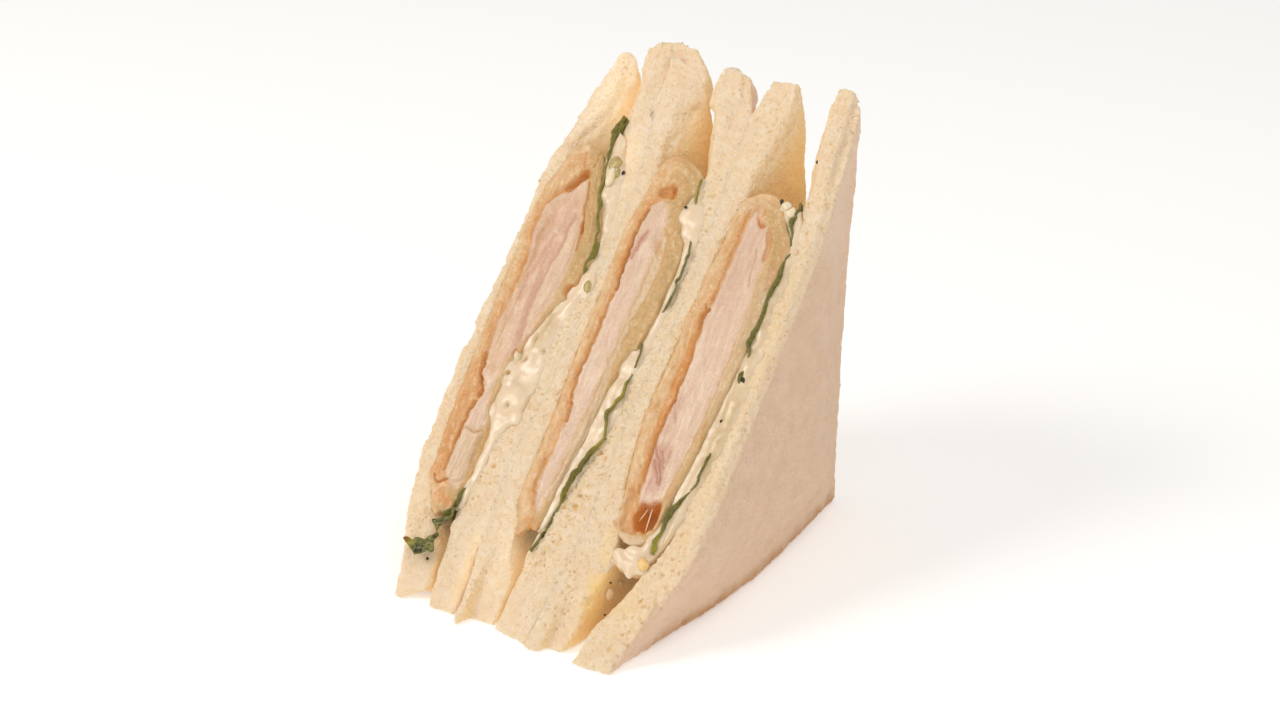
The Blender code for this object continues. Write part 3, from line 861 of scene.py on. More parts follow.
@dataclass(frozen=True)
class FloorFinish:
    """A plain pale floor."""

    colour: Colour = (0.93, 0.935, 0.94, 1.0)

    def build(self) -> bpy.types.Material:
        """The material."""
        made, board, shader, place = new_material("Pale floor")
        near = (self.colour[0] * 0.99, self.colour[1] * 0.99, self.colour[2] * 0.99, 1.0)
        even = board.group(
            "Mottling", {"Vector": place, "Patches": 3.0, "Light": self.colour, "Dark": near, "Sharpness": 1.0}
        )
        board.tree.links.new(even.outputs["Colour"], shader.inputs["Base Color"])
        set_shader(
            shader, Roughness=0.9, Specular_IOR_Level=0.1, Emission_Color=(1.0, 1.0, 1.0, 1.0),
            Emission_Strength=0.3,
        )
        return made


# ---------------------------------------------------------------------------------------------------
# Bread
# ---------------------------------------------------------------------------------------------------


class Side(Enum):
    """A slice's side across the stack."""

    LEFT = -1
    NONE = 0
    RIGHT = 1


@dataclass(frozen=True)
class OpenCrumb:
    """A patch of the cut where the crumb has larger holes."""

    across: float
    share: float
    half_width: float
    half_length: float
    strength: float

    def at(self, across: np.ndarray, along: np.ndarray) -> np.ndarray:
        """How open the crumb is here, from 0 to the patch's strength."""
        side = (across - self.across) / self.half_width
        up = (along - self.share * CUT_LENGTH) / self.half_length
        return self.strength * np.exp(-(side * side + up * up))


@dataclass
class BreadSlice:
    """One trimmed half slice of white bread.

    Attributes:
        number: Which slice, from 1 at the left to 6 at the right.
        filling: The side that lies on the filling.
        pressed: The side that lies against the next wedge's slice.
        open_crumb: Where the cut has larger holes.
        soaked: Where filling has coloured the crumb, and where the painted golden shade inside the wedges is made
            stronger or weaker.
        glowing: Where a painted glow stands in for light shining through the crumb.
        swollen: Where the side toward the filling stands out, by so many millimetres.
        fills: Outlines that fill out its top.
        joined_from: Share of the cut above which the slice meets the one beside it.
        face: Side of a face in millimetres.
        wave: How uneven the slice is, in millimetres.
        ragged: How ragged its edges are, in millimetres.
        corner: Width over which its edges are filled out, in millimetres.
    """

    number: int
    filling: Side
    pressed: Side
    open_crumb: tuple[OpenCrumb, ...] = ()
    soaked: tuple[OpenCrumb, ...] = ()
    glowing: tuple[OpenCrumb, ...] = ()
    swollen: tuple[OpenCrumb, ...] = ()
    fills: tuple[tuple[Place, ...], ...] = ()
    joined_from: float = 0.1
    face: float = 0.58
    wave: float = 0.2
    ragged: float = 0.5
    corner: float = 1.8

    def build(self, material: bpy.types.Material) -> bpy.types.Object:
        """Shapes and dresses the slice.

        Args:
            material: The crumb's finish.

        Returns:
            The finished piece.
        """
        node = f"bread_{self.number}"
        parts = [merged_copy(node, f"bread_slice_{self.number}")]
        parts += [slab("fill", curve_through(top, closed=True), 0.2, 8.0, 0.9) for top in self.fills]
        piece = joined(parts)
        knead(piece, self.face, 8)
        self.fill_out(piece)
        knead(piece, 0.9 * self.face, 1)
        depth = cut_axes(points_of(piece))[2]
        refine(piece, (depth < 1.9) & (facing(piece) @ FRONT > -0.3))
        relax(piece, 1)
        self.shape(piece)
        return finish_piece(piece, material, "bread", node)

    def wall(self, side: Side, points: np.ndarray, normals: np.ndarray) -> np.ndarray:
        """Where one side of the slice is across the stack, near the cut.

        Args:
            side: Which side.
            points: The skin's corners.
            normals: The way that each faces.

        Returns:
            The side's place across, at each corner's share of the cut.
        """
        across, share, depth = cut_axes(points)
        flank = (normals[:, 0] * side.value > 0.85) & (depth > 2.0) & (depth < 4.5)
        marks = np.linspace(0.0, 1.0, 41)
        near = [across[flank][np.abs(share[flank] - mark) < 0.02] for mark in marks]
        known = [k for k, some in enumerate(near) if len(some)]
        return np.interp(share, marks[known], [near[k].mean() for k in known])

    def fill_out(self, piece: bpy.types.Object) -> None:
        """Fills out the edges along the cut, which kneading has rounded off, and tears bits from them."""
        seed = 100 * self.number
        points, normals = points_of(piece), facing(piece)
        across, share, depth = cut_axes(points)
        outer = rise(-0.4, -0.1, normals @ FRONT)
        spare = 0.03 * (share.max() > 1.025)
        ends = rise(0.01, 0.04, share - share.min()) * rise(0.03 + spare, 0.07 + spare, share.max() - share)
        for side in (Side.LEFT, Side.RIGHT):
            gap = np.maximum((self.wall(side, points, normals) - across) * side.value, 0.0)
            if side is self.pressed:
                kept = rise(self.joined_from - 0.04, self.joined_from + 0.07, share) * ends
            elif (self.number, side) == (6, Side.RIGHT):
                kept = rise(0.30, 0.20, share) * ends
            else:
                kept = rise(0.86, 0.80, share) * ends
            level = rise(6.0, 2.5, gap) * rise(1.5, 0.7, depth) * rise(0.4, 0.8, normals @ FRONT) * kept
            depth = depth * (1.0 - level)
            within = (gap < self.corner) & (depth < self.corner)
            squeeze = 1.0 - 0.9 * kept * outer * rise(1.0, 0.35, np.maximum(gap, depth) / self.corner)
            across = np.where(within, across + side.value * gap * (1.0 - squeeze), across)
            depth = np.where(within, np.maximum(depth, 0.0) * squeeze, depth)
            gap = gap * np.where(within, squeeze, 1.0)
            if side is self.pressed:
                met = rise(2.5, 0.0, gap) * rise(self.joined_from, self.joined_from + 0.1, share) * ends
                across = across + side.value * 1.2 * met * outer
                continue
            soft = (1.0 - kept) * (normals[:, 0] * side.value > -0.2) * (side is self.filling or self.number == 6)
            round_off = 3.0
            near, far = np.maximum(round_off - gap, 0.0), np.clip(round_off - depth, 0.0, round_off)
            reach = np.maximum(near, far) / np.maximum(np.hypot(near, far), 1e-6)
            drawn = soft * outer * ends * (1.0 - reach) * (near > 0) * (far > 0)
            across, depth = across - side.value * near * drawn, depth + far * drawn
            if side is self.filling:
                held = rise(0.12, 0.18, share) * rise(0.86, 0.80, share)
                across = across + side.value * 0.6 * rise(1.5, 0.0, gap) * held * rise(10.0, 4.0, depth)
                for patch in self.swollen:
                    grown = patch.at(across, share * CUT_LENGTH) * rise(3.0, 0.0, gap)
                    across = across + side.value * grown * rise(9.0, 4.0, depth)
            close = outer * rise(1.6, 0.2, np.hypot(gap, np.maximum(depth, 0.0))) * ends
            bite = close * self.ragged * (
                2.2 * np.maximum(Grain.layered(points, 3.6, seed + 5, 2), 0.0)
                + 2.0 * np.maximum(Grain.smooth(points, 1.2, seed + 6) - 0.1, 0.0)
            )
            across = across - side.value * 0.8 * bite
            depth = depth + bite
        if self.number == 1:
            low = rise(0.06, -0.02, share) * rise(24.0, 8.0, depth)
            across = across - low * 0.75 * np.maximum(across + 28.4, 0.0)
        moved = from_cut(across, share, depth)
        if self.number == 1:
            moved[:, 2] += 4.0 * rise(-29.5, -24.0, across) * rise(0.08, 0.0, share) * rise(16.0, 3.0, depth)
        crest = rise(0.03, 0.0, share.max() - share)
        moved[:, 2] += crest * (0.8 + 0.25 * Grain.layered(points, 2.2, seed + 7, 2))
        if self.number > 2:
            tip = rise(0.035, 0.0, share - share.min())
            moved -= tip[:, None] * np.array([0.0, 1.4, 1.6])
        if self.number < 5:
            past = rise(90.0, 104.0, moved[:, 2]) * np.maximum(moved[:, 1] - 49.0, 0.0)
            moved += past[:, None] * np.array([0.3, -0.62, 0.19])
        moved[:, 2] = np.maximum(moved[:, 2], 0.3)
        place_points(piece, moved)

    def shape(self, piece: bpy.types.Object) -> None:
        """Gives the skin its waves and pores, and keeps the masks for the finish."""
        seed = 100 * (self.number // 2)
        points, normals = points_of(piece), facing(piece)
        across, share, depth = cut_axes(points)
        along = share * CUT_LENGTH
        sideways = normals[:, 0]
        at_cut = rise(0.2, 0.75, normals @ FRONT) * rise(3.0, 1.5, depth)
        torn = Grain.layered(points, 3.4, seed + 5, 3)
        toward_filling = rise(0.3, 0.8, sideways * self.filling.value)

        push = self.wave * Grain.layered(points, 8.0, seed + 1, 2)
        push += 0.15 * Grain.layered(points, 1.5, seed + 2, 3)
        push += (1.0 - at_cut) * (0.14 * Grain.layered(points, 4.2, seed + 3, 4)
                                  + 0.2 * np.abs(Grain.layered(points, 1.7, seed + 9, 2)))
        openness = 0.28 + 0.18 * Grain.smooth(points, 9.0, seed + 4)
        for patch in self.open_crumb:
            openness = openness + patch.at(across, along)
        openness = np.clip(openness, 0.0, 1.0)
        front = at_cut > 0.02
        pore = np.zeros(len(points))
        pore[front] = self.pores(points[front], openness[front], seed) * at_cut[front]
        moved = points + normals * (push - 0.9 * pore)[:, None]
        moved[:, 2] = np.maximum(moved[:, 2], 0.03)
        place_points(piece, moved)

        # Golden tint on the faces toward the filling, stronger deeper in the wedge: partly the filling soaking in,
        # partly painted shade and bounced light.
        gold = toward_filling * (0.45 + 0.5 * rise(0.0, 12.0, depth)) * (1.0 - 0.5 * at_cut)
        gold += 0.12 * Grain.smooth(points, 12.0, seed + 8) * at_cut
        for patch in self.soaked:
            gold = gold + patch.at(across, along) * (0.7 + 0.5 * torn) * rise(-0.6, 0.2, normals @ FRONT)
        # Painted shade: the side faces away from the filling, off the cut, are toned darker and pinker.
        rosy = rise(0.2, 0.7, -sideways * self.filling.value) * (1.0 - at_cut)
        # Painted shade: darker and browner near the floor behind the cut, and on the outer faces the lower they
        # are.
        low = rise(6.0, 0.5, points[:, 2]) * rise(4.0, 12.0, depth) * (1.0 - toward_filling)
        low += 0.24 * rosy * rise(0.95, 0.5, points[:, 2] / LEG + 0.25 * Grain.smooth(points, 14.0, seed + 12))
        # Painted light: the emitted glow follows the golden tint and the glowing patches.
        glow = 0.8 * np.clip(gold, 0.0, 1.0)
        for patch in self.glowing:
            glow = glow + patch.at(across, along) * rise(-0.2, 0.4, np.abs(sideways) + at_cut)
        store(piece, "glow", glow / 5.0)
        store(piece, "gold", gold)
        store(piece, "pore", pore)
        store(piece, "open", np.maximum(openness * at_cut, 0.5 * toward_filling))
        store(piece, "rosy", rosy)
        store(piece, "tan", low * (0.75 + 0.35 * torn))

    @staticmethod
    def pores(points: np.ndarray, openness: np.ndarray, seed: int) -> np.ndarray:
        """The holes of the crumb.

        Args:
            points: Points on the cut, in millimetres.
            openness: How open the crumb is at each, from 0 to 1.
            seed: Which holes.

        Returns:
            How deep in a hole each point is, from 0 to about 1.
        """
        bent = points + 0.5 * np.stack(
            [Grain.smooth(points, 1.7, seed + 11 + k) for k in range(3)], axis=1
        )
        deep = np.zeros(len(points))
        for size, least, height, key in ((2.0, 0.55, 1.0, 20), (1.2, 0.30, 0.65, 30), (0.75, 0.0, 0.4, 40)):
            squeezed = bent * np.array((1.0, 0.75, 0.75))
            distance, own = Grain.cells(squeezed, size, seed + key)
            radius = size * (0.16 + 0.26 * own)
            kept = rise(least - 0.05, least + 0.35, openness * (0.45 + own))
            deep = np.maximum(deep, height * kept * rise(1.0, 0.3, distance / radius))
        return deep


# ---------------------------------------------------------------------------------------------------
# Chicken
# ---------------------------------------------------------------------------------------------------


@dataclass(frozen=True)
class Patch:
    """A tinted or raised patch of the chicken's cut face; tints in the dark mask are painted shade.

    Attributes:
        mask: The finish's mask that it goes into.
        outline: Its outline, (across, share) of each place.
        strength: How much of the mask it has.
        height: How far it stands proud, or below zero how deep it is sunk, in millimetres.
        soft: How wide its edge is, in millimetres.
    """

    mask: str
    outline: tuple[Place, ...]
    strength: float = 1.0
    height: float = 0.0
    soft: float = 0.8


@dataclass(frozen=True)
class Crease:
    """A line in the chicken's cut face: a groove, a split or a fibre; the tint along a groove is painted shade.

    Attributes:
        path: The places that it runs through.
        half: Half its width in millimetres.
        depth: How deep it is in millimetres.
        mask: The finish's mask that it goes into.
        strength: How much of the mask it has.
    """

    path: tuple[Place, ...]
    half: float = 0.35
    depth: float = 0.6
    mask: str = "orange"
    strength: float = 0.8


@dataclass
class Fillet:
    """One battered chicken fillet, cut across.

    Attributes:
        wedge: Which wedge, from 1 at the left.
        outline: The whole cut face.
        meat: The meat inside the batter.
        hollows: Hollows that go deep behind the cut, tinted with painted shade.
        patches: Tinted and raised patches.
        creases: Lines in the cut face.
        face: Side of a face in millimetres.
    """

    wedge: int
    outline: tuple[Place, ...]
    meat: tuple[Place, ...]
    hollows: tuple[Patch, ...] = ()
    patches: tuple[Patch, ...] = ()
    creases: tuple[Crease, ...] = ()
    face: float = 0.45
    proud: float = 0.2

    def build(self, material: bpy.types.Material) -> bpy.types.Object:
        """Shapes and dresses the fillet.

        Args:
            material: The chicken's finish.

        Returns:
            The finished piece.
        """
        node = f"chicken_{self.wedge}"
        outline = curve_through(self.outline, closed=True)
        body = merged_copy(node, f"chicken_fillet_{self.wedge}")
        plug = slab("chicken face", outline, -self.proud, 3.2, 0.93)
        piece = joined([body, plug])
        knead(piece, 0.6, 3)
        self.hollow_out(piece)
        knead(piece, self.face, 4)
        keep_main(piece)
        depth = cut_axes(points_of(piece))[2]
        refine(piece, (depth < 4.0) & (facing(piece) @ FRONT > -0.1))
        relax(piece, 2)
        self.shape(piece, outline)
        return finish_piece(piece, material, "chicken", node)

    def hollow_out(self, piece: bpy.types.Object) -> None:
        """Pushes the deep hollows into the cut face."""
        points, normals = points_of(piece), facing(piece)
        across, share, depth = cut_axes(points)
        flat = np.stack([across, share * CUT_LENGTH], axis=1)
        front = (depth < 3.0) & (normals @ FRONT > 0.0)
        inward = np.zeros(len(points))
        for hollow in self.hollows:
            within = inside(flat[front], curve_through(hollow.outline, closed=True))
            inward[front] += -hollow.height * rise(-0.2, hollow.soft, within)
        place_points(piece, points - FRONT * inward[:, None])

    def shape(self, piece: bpy.types.Object, outline: np.ndarray) -> None:
        """Gives the cut face its relief and keeps the masks for the finish."""
        seed = 1000 + 100 * self.wedge
        points, normals = points_of(piece), facing(piece)
        across, share, depth = cut_axes(points)
        flat = np.stack([across, share * CUT_LENGTH], axis=1)
        near = depth < 6.0
        front = near & (normals @ FRONT > -0.2)
        fade = rise(6.0, 3.0, depth) * rise(-0.2, 0.3, normals @ FRONT)

        wobble = 0.42 * np.stack(
            [Grain.layered(points, 2.4, seed + k, 4) for k in (1, 2)], axis=1
        )
        flat = flat + wobble
        masks = {name: np.zeros(len(points)) for name in ("tan", "orange", "pale", "pink", "dark")}
        meat_line = curve_through(self.meat, closed=True)
        within = np.full(len(points), -9.0)
        within[near] = inside(flat[near], meat_line)
        left = rise(1.0, -1.0, across - self.middle(meat_line, share * CUT_LENGTH))
        meat = rise(left - 1.15, 1.2 - 0.8 * left, within) * rise(9.0, 5.0, depth)
        batter = 1.0 - meat

        raise_by = 0.25 * batter * Grain.layered(points, 2.8, seed + 3) + 0.2 * batter
        raise_by += 0.07 * batter * Grain.layered(points, 0.9, seed + 4, 2)
        edge_away = np.full(len(points), 9.0)
        edge_away[near] = from_line(flat[near], outline, closed=True)
        folds = Grain.layered(np.stack([edge_away, 0.14 * flat[:, 1], 0.1 * depth], axis=1), 1.1, seed + 11, 2)
        raise_by += batter * (0.28 * folds + 0.3 * Grain.smooth(points, 6.0, seed + 12))
        masks["orange"] += 0.22 * batter * left * rise(0.0, 0.7, folds)
        masks["tan"] += batter * (1.0 - left) * (0.5 + 0.4 * rise(-0.2, 0.6, folds))
        fibres = Grain.layered(points @ self.turned(), (0.8, 7.0, 3.0), seed + 5, 3)
        raise_by += 0.12 * meat * fibres + 0.12 * meat * Grain.smooth(points, 5.0, seed + 6)
        # Partly painted shade: the groove between the meat and the left batter, and the band of batter beside it,
        # are tinted a deeper colour.
        groove = left * np.exp(-((within / 0.3) ** 2)) * rise(-0.4, 0.6, Grain.smooth(points, 6.0, seed + 7))
        raise_by -= 0.3 * groove
        masks["orange"] += 0.4 * groove + 0.5 * left * batter * rise(2.6, 0.2, np.abs(within))
        masks["orange"] += 0.2 * batter * rise(0.1, 0.7, Grain.layered(points, 4.0, seed + 8, 3))
        uneven = 0.8 + 0.3 * Grain.layered(points, 2.0, seed + 10, 3)

        # Tints of the patches and hollows; the hollows and the dark patches are painted shade.
        for patch in self.patches + self.hollows:
            amount = np.zeros(len(points))
            amount[near] = rise(-patch.soft / 2, patch.soft / 2, inside(
                flat[near], curve_through(patch.outline, closed=True)))
            tint = patch.strength * amount * (1.0 if patch in self.hollows else uneven)
            masks[patch.mask] = np.maximum(masks[patch.mask], tint)
            if patch in self.patches:
                raise_by += patch.height * amount
        for crease in self.creases:
            line = curve_through(crease.path, closed=False)
            close = np.full(len(points), 99.0)
            close[near] = from_line(flat[near], line, closed=False)
            amount = np.exp(-((close / crease.half) ** 2))
            raise_by -= crease.depth * amount
            masks[crease.mask] = np.maximum(masks[crease.mask], crease.strength * amount)

        raise_by -= 0.25 * rise(0.9, 0.0, edge_away)
        skin = 0.25 * Grain.layered(points, 3.0, seed + 9)
        moved = points + FRONT * (raise_by * fade)[:, None] + normals * (skin * (1 - fade))[:, None]
        moved[:, 2] = np.maximum(moved[:, 2], 0.05)
        place_points(piece, moved)
        for name, values in masks.items():
            store(piece, name, values)
        store(piece, "meat", meat)

    @staticmethod
    def middle(line: np.ndarray, along: np.ndarray) -> np.ndarray:
        """The middle across the stack of an outline (across, along), at each of these places along."""
        marks = np.linspace(line[:, 1].min() + 2.0, line[:, 1].max() - 2.0, 24)
        rows = [line[np.abs(line[:, 1] - mark) < 4.0, 0] for mark in marks]
        return np.interp(along, marks, [(row.min() + row.max()) / 2 for row in rows])

    @staticmethod
    def turned() -> np.ndarray:
        """Axes in which the second runs along the cut and the third out of it."""
        return np.stack([np.array((1.0, 0.0, 0.0)), UPWARD, FRONT], axis=1)


# ---------------------------------------------------------------------------------------------------
# Sauce and lettuce
# ---------------------------------------------------------------------------------------------------


@dataclass
class Sauce:
    """The tartar sauce of one wedge, with the lumps and smears that show at the cut.

    Attributes:
        wedge: Which wedge, from 1 at the left.
        nodes: The CAD solids that it replaces.
        smear: Outline of the layer between the fillet and the bread, as it shows at the cut.
        lumps: Rounded lumps kneaded into it.
        glassy: Patches where it is thin and see-through.
        pits: Small hollows, by how many millimetres deep.
        face: Side of a face in millimetres.
    """

    wedge: int
    nodes: tuple[str, ...]
    smear: tuple[Place, ...]
    lumps: tuple[Blob, ...]
    glassy: tuple[OpenCrumb, ...] = ()
    pits: tuple[OpenCrumb, ...] = ()
    face: float = 0.38

    def build(self, material: bpy.types.Material) -> bpy.types.Object:
        """Shapes and dresses the sauce.

        Args:
            material: The sauce's finish.

        Returns:
            The finished piece.
        """
        parts = [merged_copy(node, f"tartar_sauce_{self.wedge}" if not k else f"part {k}")
                 for k, node in enumerate(self.nodes)]
        parts.append(slab("smear", curve_through(self.smear, closed=True, fineness=3), 0.15, 4.5, 1.0))
        parts += [lump.build("lump") for lump in self.lumps]
        piece = joined(parts)
        piece.name = f"tartar_sauce_{self.wedge}"
        knead(piece, self.face, 12)
        points, normals = points_of(piece), facing(piece)
        across, share, depth = cut_axes(points)
        seed = 2000 + 100 * self.wedge
        push = 0.16 * Grain.layered(points, 3.2, seed, 2) + 0.04 * Grain.layered(points, 1.0, seed + 1, 2)
        push *= rise(8.0, 2.0, depth)
        glassy = np.zeros(len(points))
        for pit in self.pits:
            sunk = pit.at(across, share * CUT_LENGTH) * rise(0.0, 0.4, normals @ FRONT) * rise(3.0, 1.5, depth)
            push, glassy = push - sunk, glassy + 0.9 * sunk
        place_points(piece, points + normals * push[:, None])
        for patch in self.glassy:
            glassy = glassy + patch.at(across, share * CUT_LENGTH)
        store(piece, "glassy", glassy * (0.7 + 0.3 * Grain.smooth(points, 1.4, seed + 2)))
        return finish_piece(piece, material, "tartar", *self.nodes)


@dataclass(frozen=True)
class LeafPoint:
    """One place on a leaf's front edge.

    Attributes:
        across: In millimetres.
        share: Along the cut.
        out: How far the edge stands out of the cut, in millimetres.
        lean: How far the edge leans to the right of its root, in millimetres.
    """

    across: float
    share: float
    out: float = 0.6
    lean: float = 0.0


@dataclass
class Leaf:
    """A leaf of lettuce that runs through one wedge.

    Attributes:
        wedge: Which wedge, from 1 at the left.
        edge: Its front edge from low to high.
        limy: Places where it is yellow-green.
        thickness: In millimetres.
        rows: Rows of faces from the front edge to the back one.
    """

    wedge: int
    edge: tuple[LeafPoint, ...]
    limy: tuple[OpenCrumb, ...] = ()
    thickness: float = 0.42
    rows: int = 26
    step: float = 0.42
    shift: float = -0.3

    def build(self, material: bpy.types.Material) -> bpy.types.Object:
        """Shapes and dresses the leaf.

        Args:
            material: The leaf's finish.

        Returns:
            The finished piece.
        """
        node = f"lettuce_{self.wedge}"
        shares = np.array([point.share for point in self.edge])
        length = (shares[-1] - shares[0]) * CUT_LENGTH
        columns = int(length / self.step)
        bpy.ops.object.select_all(action="DESELECT")
        bpy.ops.mesh.primitive_grid_add(x_subdivisions=columns, y_subdivisions=self.rows, size=1.0)
        piece = bpy.context.object
        piece.name = f"lettuce_leaf_{self.wedge}"
        grid = points_of(piece) * MM
        run, back = grid[:, 0] + 0.5, grid[:, 1] + 0.5
        share = shares[0] + run * (shares[-1] - shares[0])
        knots = np.array([(p.across, p.out, p.lean) for p in self.edge])
        across, out, lean = (self.eased(share, shares, knots[:, k]) for k in range(3))
        seed = 3000 + 100 * self.wedge
        line = np.stack([share * CUT_LENGTH, 0 * share, 0 * share], axis=1)
        out, lean = 1.3 * out + 0.45, 1.5 * lean + self.shift
        out = out + 0.45 * Grain.layered(line, 2.2, seed, 3)
        reach = self.reach(node, share)
        depth = -out + (reach + out) * back**1.7
        front = np.exp(-(np.maximum(depth, -1.0) + 1.0) / 2.6)
        inner = self.inner(node, share, depth, across)
        settled = rise(1.5, 6.0, depth)
        x = (across + lean * front) * (1.0 - settled) + inner * settled
        ruffle = np.stack([share * CUT_LENGTH, depth, 0 * depth], axis=1)
        x = x + 0.7 * front * Grain.layered(ruffle, (2.4, 4.0, 1.0), seed + 1, 2)
        drift = 0.5 * Grain.layered(ruffle, (5.0, 5.0, 1.0), seed + 2, 2) * front
        share = share - 0.045 * rise(0.8, 1.0, run) * rise(0.5, 5.0, depth)
        points = from_cut(x, share + drift / CUT_LENGTH, depth)
        points[:, 2] = np.maximum(points[:, 2], 0.4)
        place_points(piece, points)
        only(piece)
        shell = piece.modifiers.new("leaf thickness", "SOLIDIFY")
        shell.thickness = self.thickness * MM
        shell.offset = 0.0
        bpy.ops.object.modifier_apply(modifier=shell.name)
        done = points_of(piece)
        far, up, deep = cut_axes(done)
        limy = np.zeros(len(done))
        for patch in self.limy:
            limy = limy + patch.at(far, up * CUT_LENGTH)
        store(piece, "limy", limy)
        store(piece, "edge", 0.6 * rise(0.5, -0.9, deep))
        store(piece, "withered", np.zeros(len(done)))
        return finish_piece(piece, material, "lettuce", node)

    @staticmethod
    def eased(share: np.ndarray, knots: np.ndarray, values: np.ndarray) -> np.ndarray:
        """Values between knots, eased from each to the next."""
        place = np.clip(np.searchsorted(knots, share) - 1, 0, len(knots) - 2)
        part = (share - knots[place]) / (knots[place + 1] - knots[place])
        part = np.clip(part, 0.0, 1.0)
        part = part * part * (3.0 - 2.0 * part) * 0.4 + part * 0.6
        return values[place] + (values[place + 1] - values[place]) * part

    def reach(self, node: str, share: np.ndarray) -> np.ndarray:
        """How deep the CAD leaf goes at each share of the cut, in millimetres."""
        found, deepest = cut_axes(self.node_points(node))[1:]
        marks = np.linspace(found.min(), found.max(), 20)
        reach = [deepest[np.abs(found - mark) < 0.06].max() for mark in marks]
        return np.interp(share, marks, reach) * 0.98

    def inner(self, node: str, share: np.ndarray, depth: np.ndarray, spare: np.ndarray) -> np.ndarray:
        """The CAD leaf's own place across the stack, or the spare one where it has none."""
        data = frame["nodes"][node].data
        corners = [v.co.copy() for v in data.vertices]
        faces = [tuple(face.vertices) for face in data.polygons]
        tree = BVHTree.FromPolygons(corners, faces)
        found = np.array(spare, float)
        starts = from_cut(np.full(len(share), -60.0), share, depth) * MM
        for index, start in enumerate(starts):
            hit = tree.ray_cast(Vector(start), Vector((1.0, 0.0, 0.0)))[0]
            if hit is not None:
                found[index] = hit.x / MM - STACK_MIDDLE[0] + 0.35
        return found

    @staticmethod
    def node_points(node: str) -> np.ndarray:
        """A CAD node's corners in millimetres."""
        return points_of(frame["nodes"][node])


# ---------------------------------------------------------------------------------------------------
# The stage
# ---------------------------------------------------------------------------------------------------


@dataclass
class Stage:
    """The pale floor, the soft light and the camera."""

    azimuth: float = 32.4
    elevation: float = 23.2
    distance: float = 0.6
    lens: float = 71.86
    shift_right: float = 6.2
    shift_up: float = -2.2

    def build(self) -> None:
        """Sets up the floor, the lights and the camera."""
        self.floor()
        self.lights()
        self.camera()
        bpy.context.scene.view_settings.view_transform = "Standard"

    def floor(self) -> None:
        """Lays the floor."""
        bpy.ops.object.select_all(action="DESELECT")
        bpy.ops.mesh.primitive_grid_add(x_subdivisions=8, y_subdivisions=8, size=12.0)
        floor = bpy.context.object
        floor.name = "floor"
        floor.data.materials.append(FloorFinish().build())

    def lights(self) -> None:
        """Sets the soft studio lights and the even light all round."""
        lamps = (
            ("key", (-0.62, -0.62, 0.85), 0.50, 4.85, (1.0, 0.94, 0.88)),
            ("fill", (0.75, -0.75, 0.35), 0.80, 0.35, (1.0, 0.95, 0.91)),
            ("top", (0.42, -0.12, 1.05), 0.60, 2.2, (1.0, 0.96, 0.91)),
        )
        for name, place, size, power, colour in lamps:
            light = bpy.data.lights.new(name, "AREA")
            light.shape = "DISK"
            light.size = size
            light.energy = power
            light.color = colour
            lamp = bpy.data.objects.new(name, light)
            bpy.context.scene.collection.objects.link(lamp)
            lamp.location = place
            toward = Vector((0.0, 0.0, 0.05)) - Vector(place)
            lamp.rotation_euler = toward.to_track_quat("-Z", "Y").to_euler()
        world = bpy.data.worlds.new("even light")
        world.use_nodes = True
        sky = world.node_tree.nodes["Background"]
        sky.inputs["Color"].default_value = (1.0, 0.975, 0.94, 1.0)
        sky.inputs["Strength"].default_value = 0.48
        bpy.context.scene.world = world

    def camera(self) -> None:
        """Points the camera at the cut from the right and from above."""
        turn, lift = math.radians(self.azimuth), math.radians(self.elevation)
        back = Vector(
            (math.sin(turn) * math.cos(lift), -math.cos(turn) * math.cos(lift), math.sin(lift))
        )
        right = Vector((math.cos(turn), math.sin(turn), 0.0))
        up = back.cross(right)
        middle = Vector((STACK_MIDDLE[0] * MM, STACK_MIDDLE[1] * MM, LEG / 2 * MM))
        place = middle + back * self.distance + right * self.shift_right * MM + up * self.shift_up * MM
        camera = bpy.data.objects.new("camera", bpy.data.cameras.new("camera"))
        camera.data.lens = self.lens
        camera.data.sensor_width = 36.0
        camera.data.clip_start = 0.01
        bpy.context.scene.collection.objects.link(camera)
        camera.location = place
        camera.rotation_mode = "QUATERNION"
        camera.rotation_quaternion = (-back).to_track_quat("-Z", "Y")
        bpy.context.scene.camera = camera


# ---------------------------------------------------------------------------------------------------
# Small things
# ---------------------------------------------------------------------------------------------------


@dataclass(frozen=True)
class BitFinish:
    """The finish of one kind of small bit.

    Attributes:
        name: The material's name.
        light: Its lighter colour.
        dark: Its darker colour.
        rough: How matt it is.
        glow: How far light goes into it, as a share.
    """

    name: str
    light: Colour
    dark: Colour
    rough: float
    glow: float

    def build(self) -> bpy.types.Material:
        """The material."""
        made, board, shader, place = new_material(self.name)
        mottled = board.group(
            "Mottling",
            {"Vector": place, "Patches": 900.0, "Light": self.light, "Dark": self.dark, "Sharpness": 2.5},
        )
        relief = board.group(
            "Fine relief", {"Vector": place, "Grain": 2200.0, "Pins": 900.0, "Pin depth": 0.2}
        )
        bump = board.add("Bump", {"Strength": 0.4, "Distance": 0.00015, "Height": relief.outputs["Height"]})
        board.tree.links.new(mottled.outputs["Colour"], shader.inputs["Base Color"])
        board.tree.links.new(bump.outputs["Normal"], shader.inputs["Normal"])
        set_shader(
            shader, Roughness=self.rough, Subsurface_Weight=self.glow, Subsurface_Radius=(1.0, 0.8, 0.4),
            Subsurface_Scale=0.0008,
        )
        return made


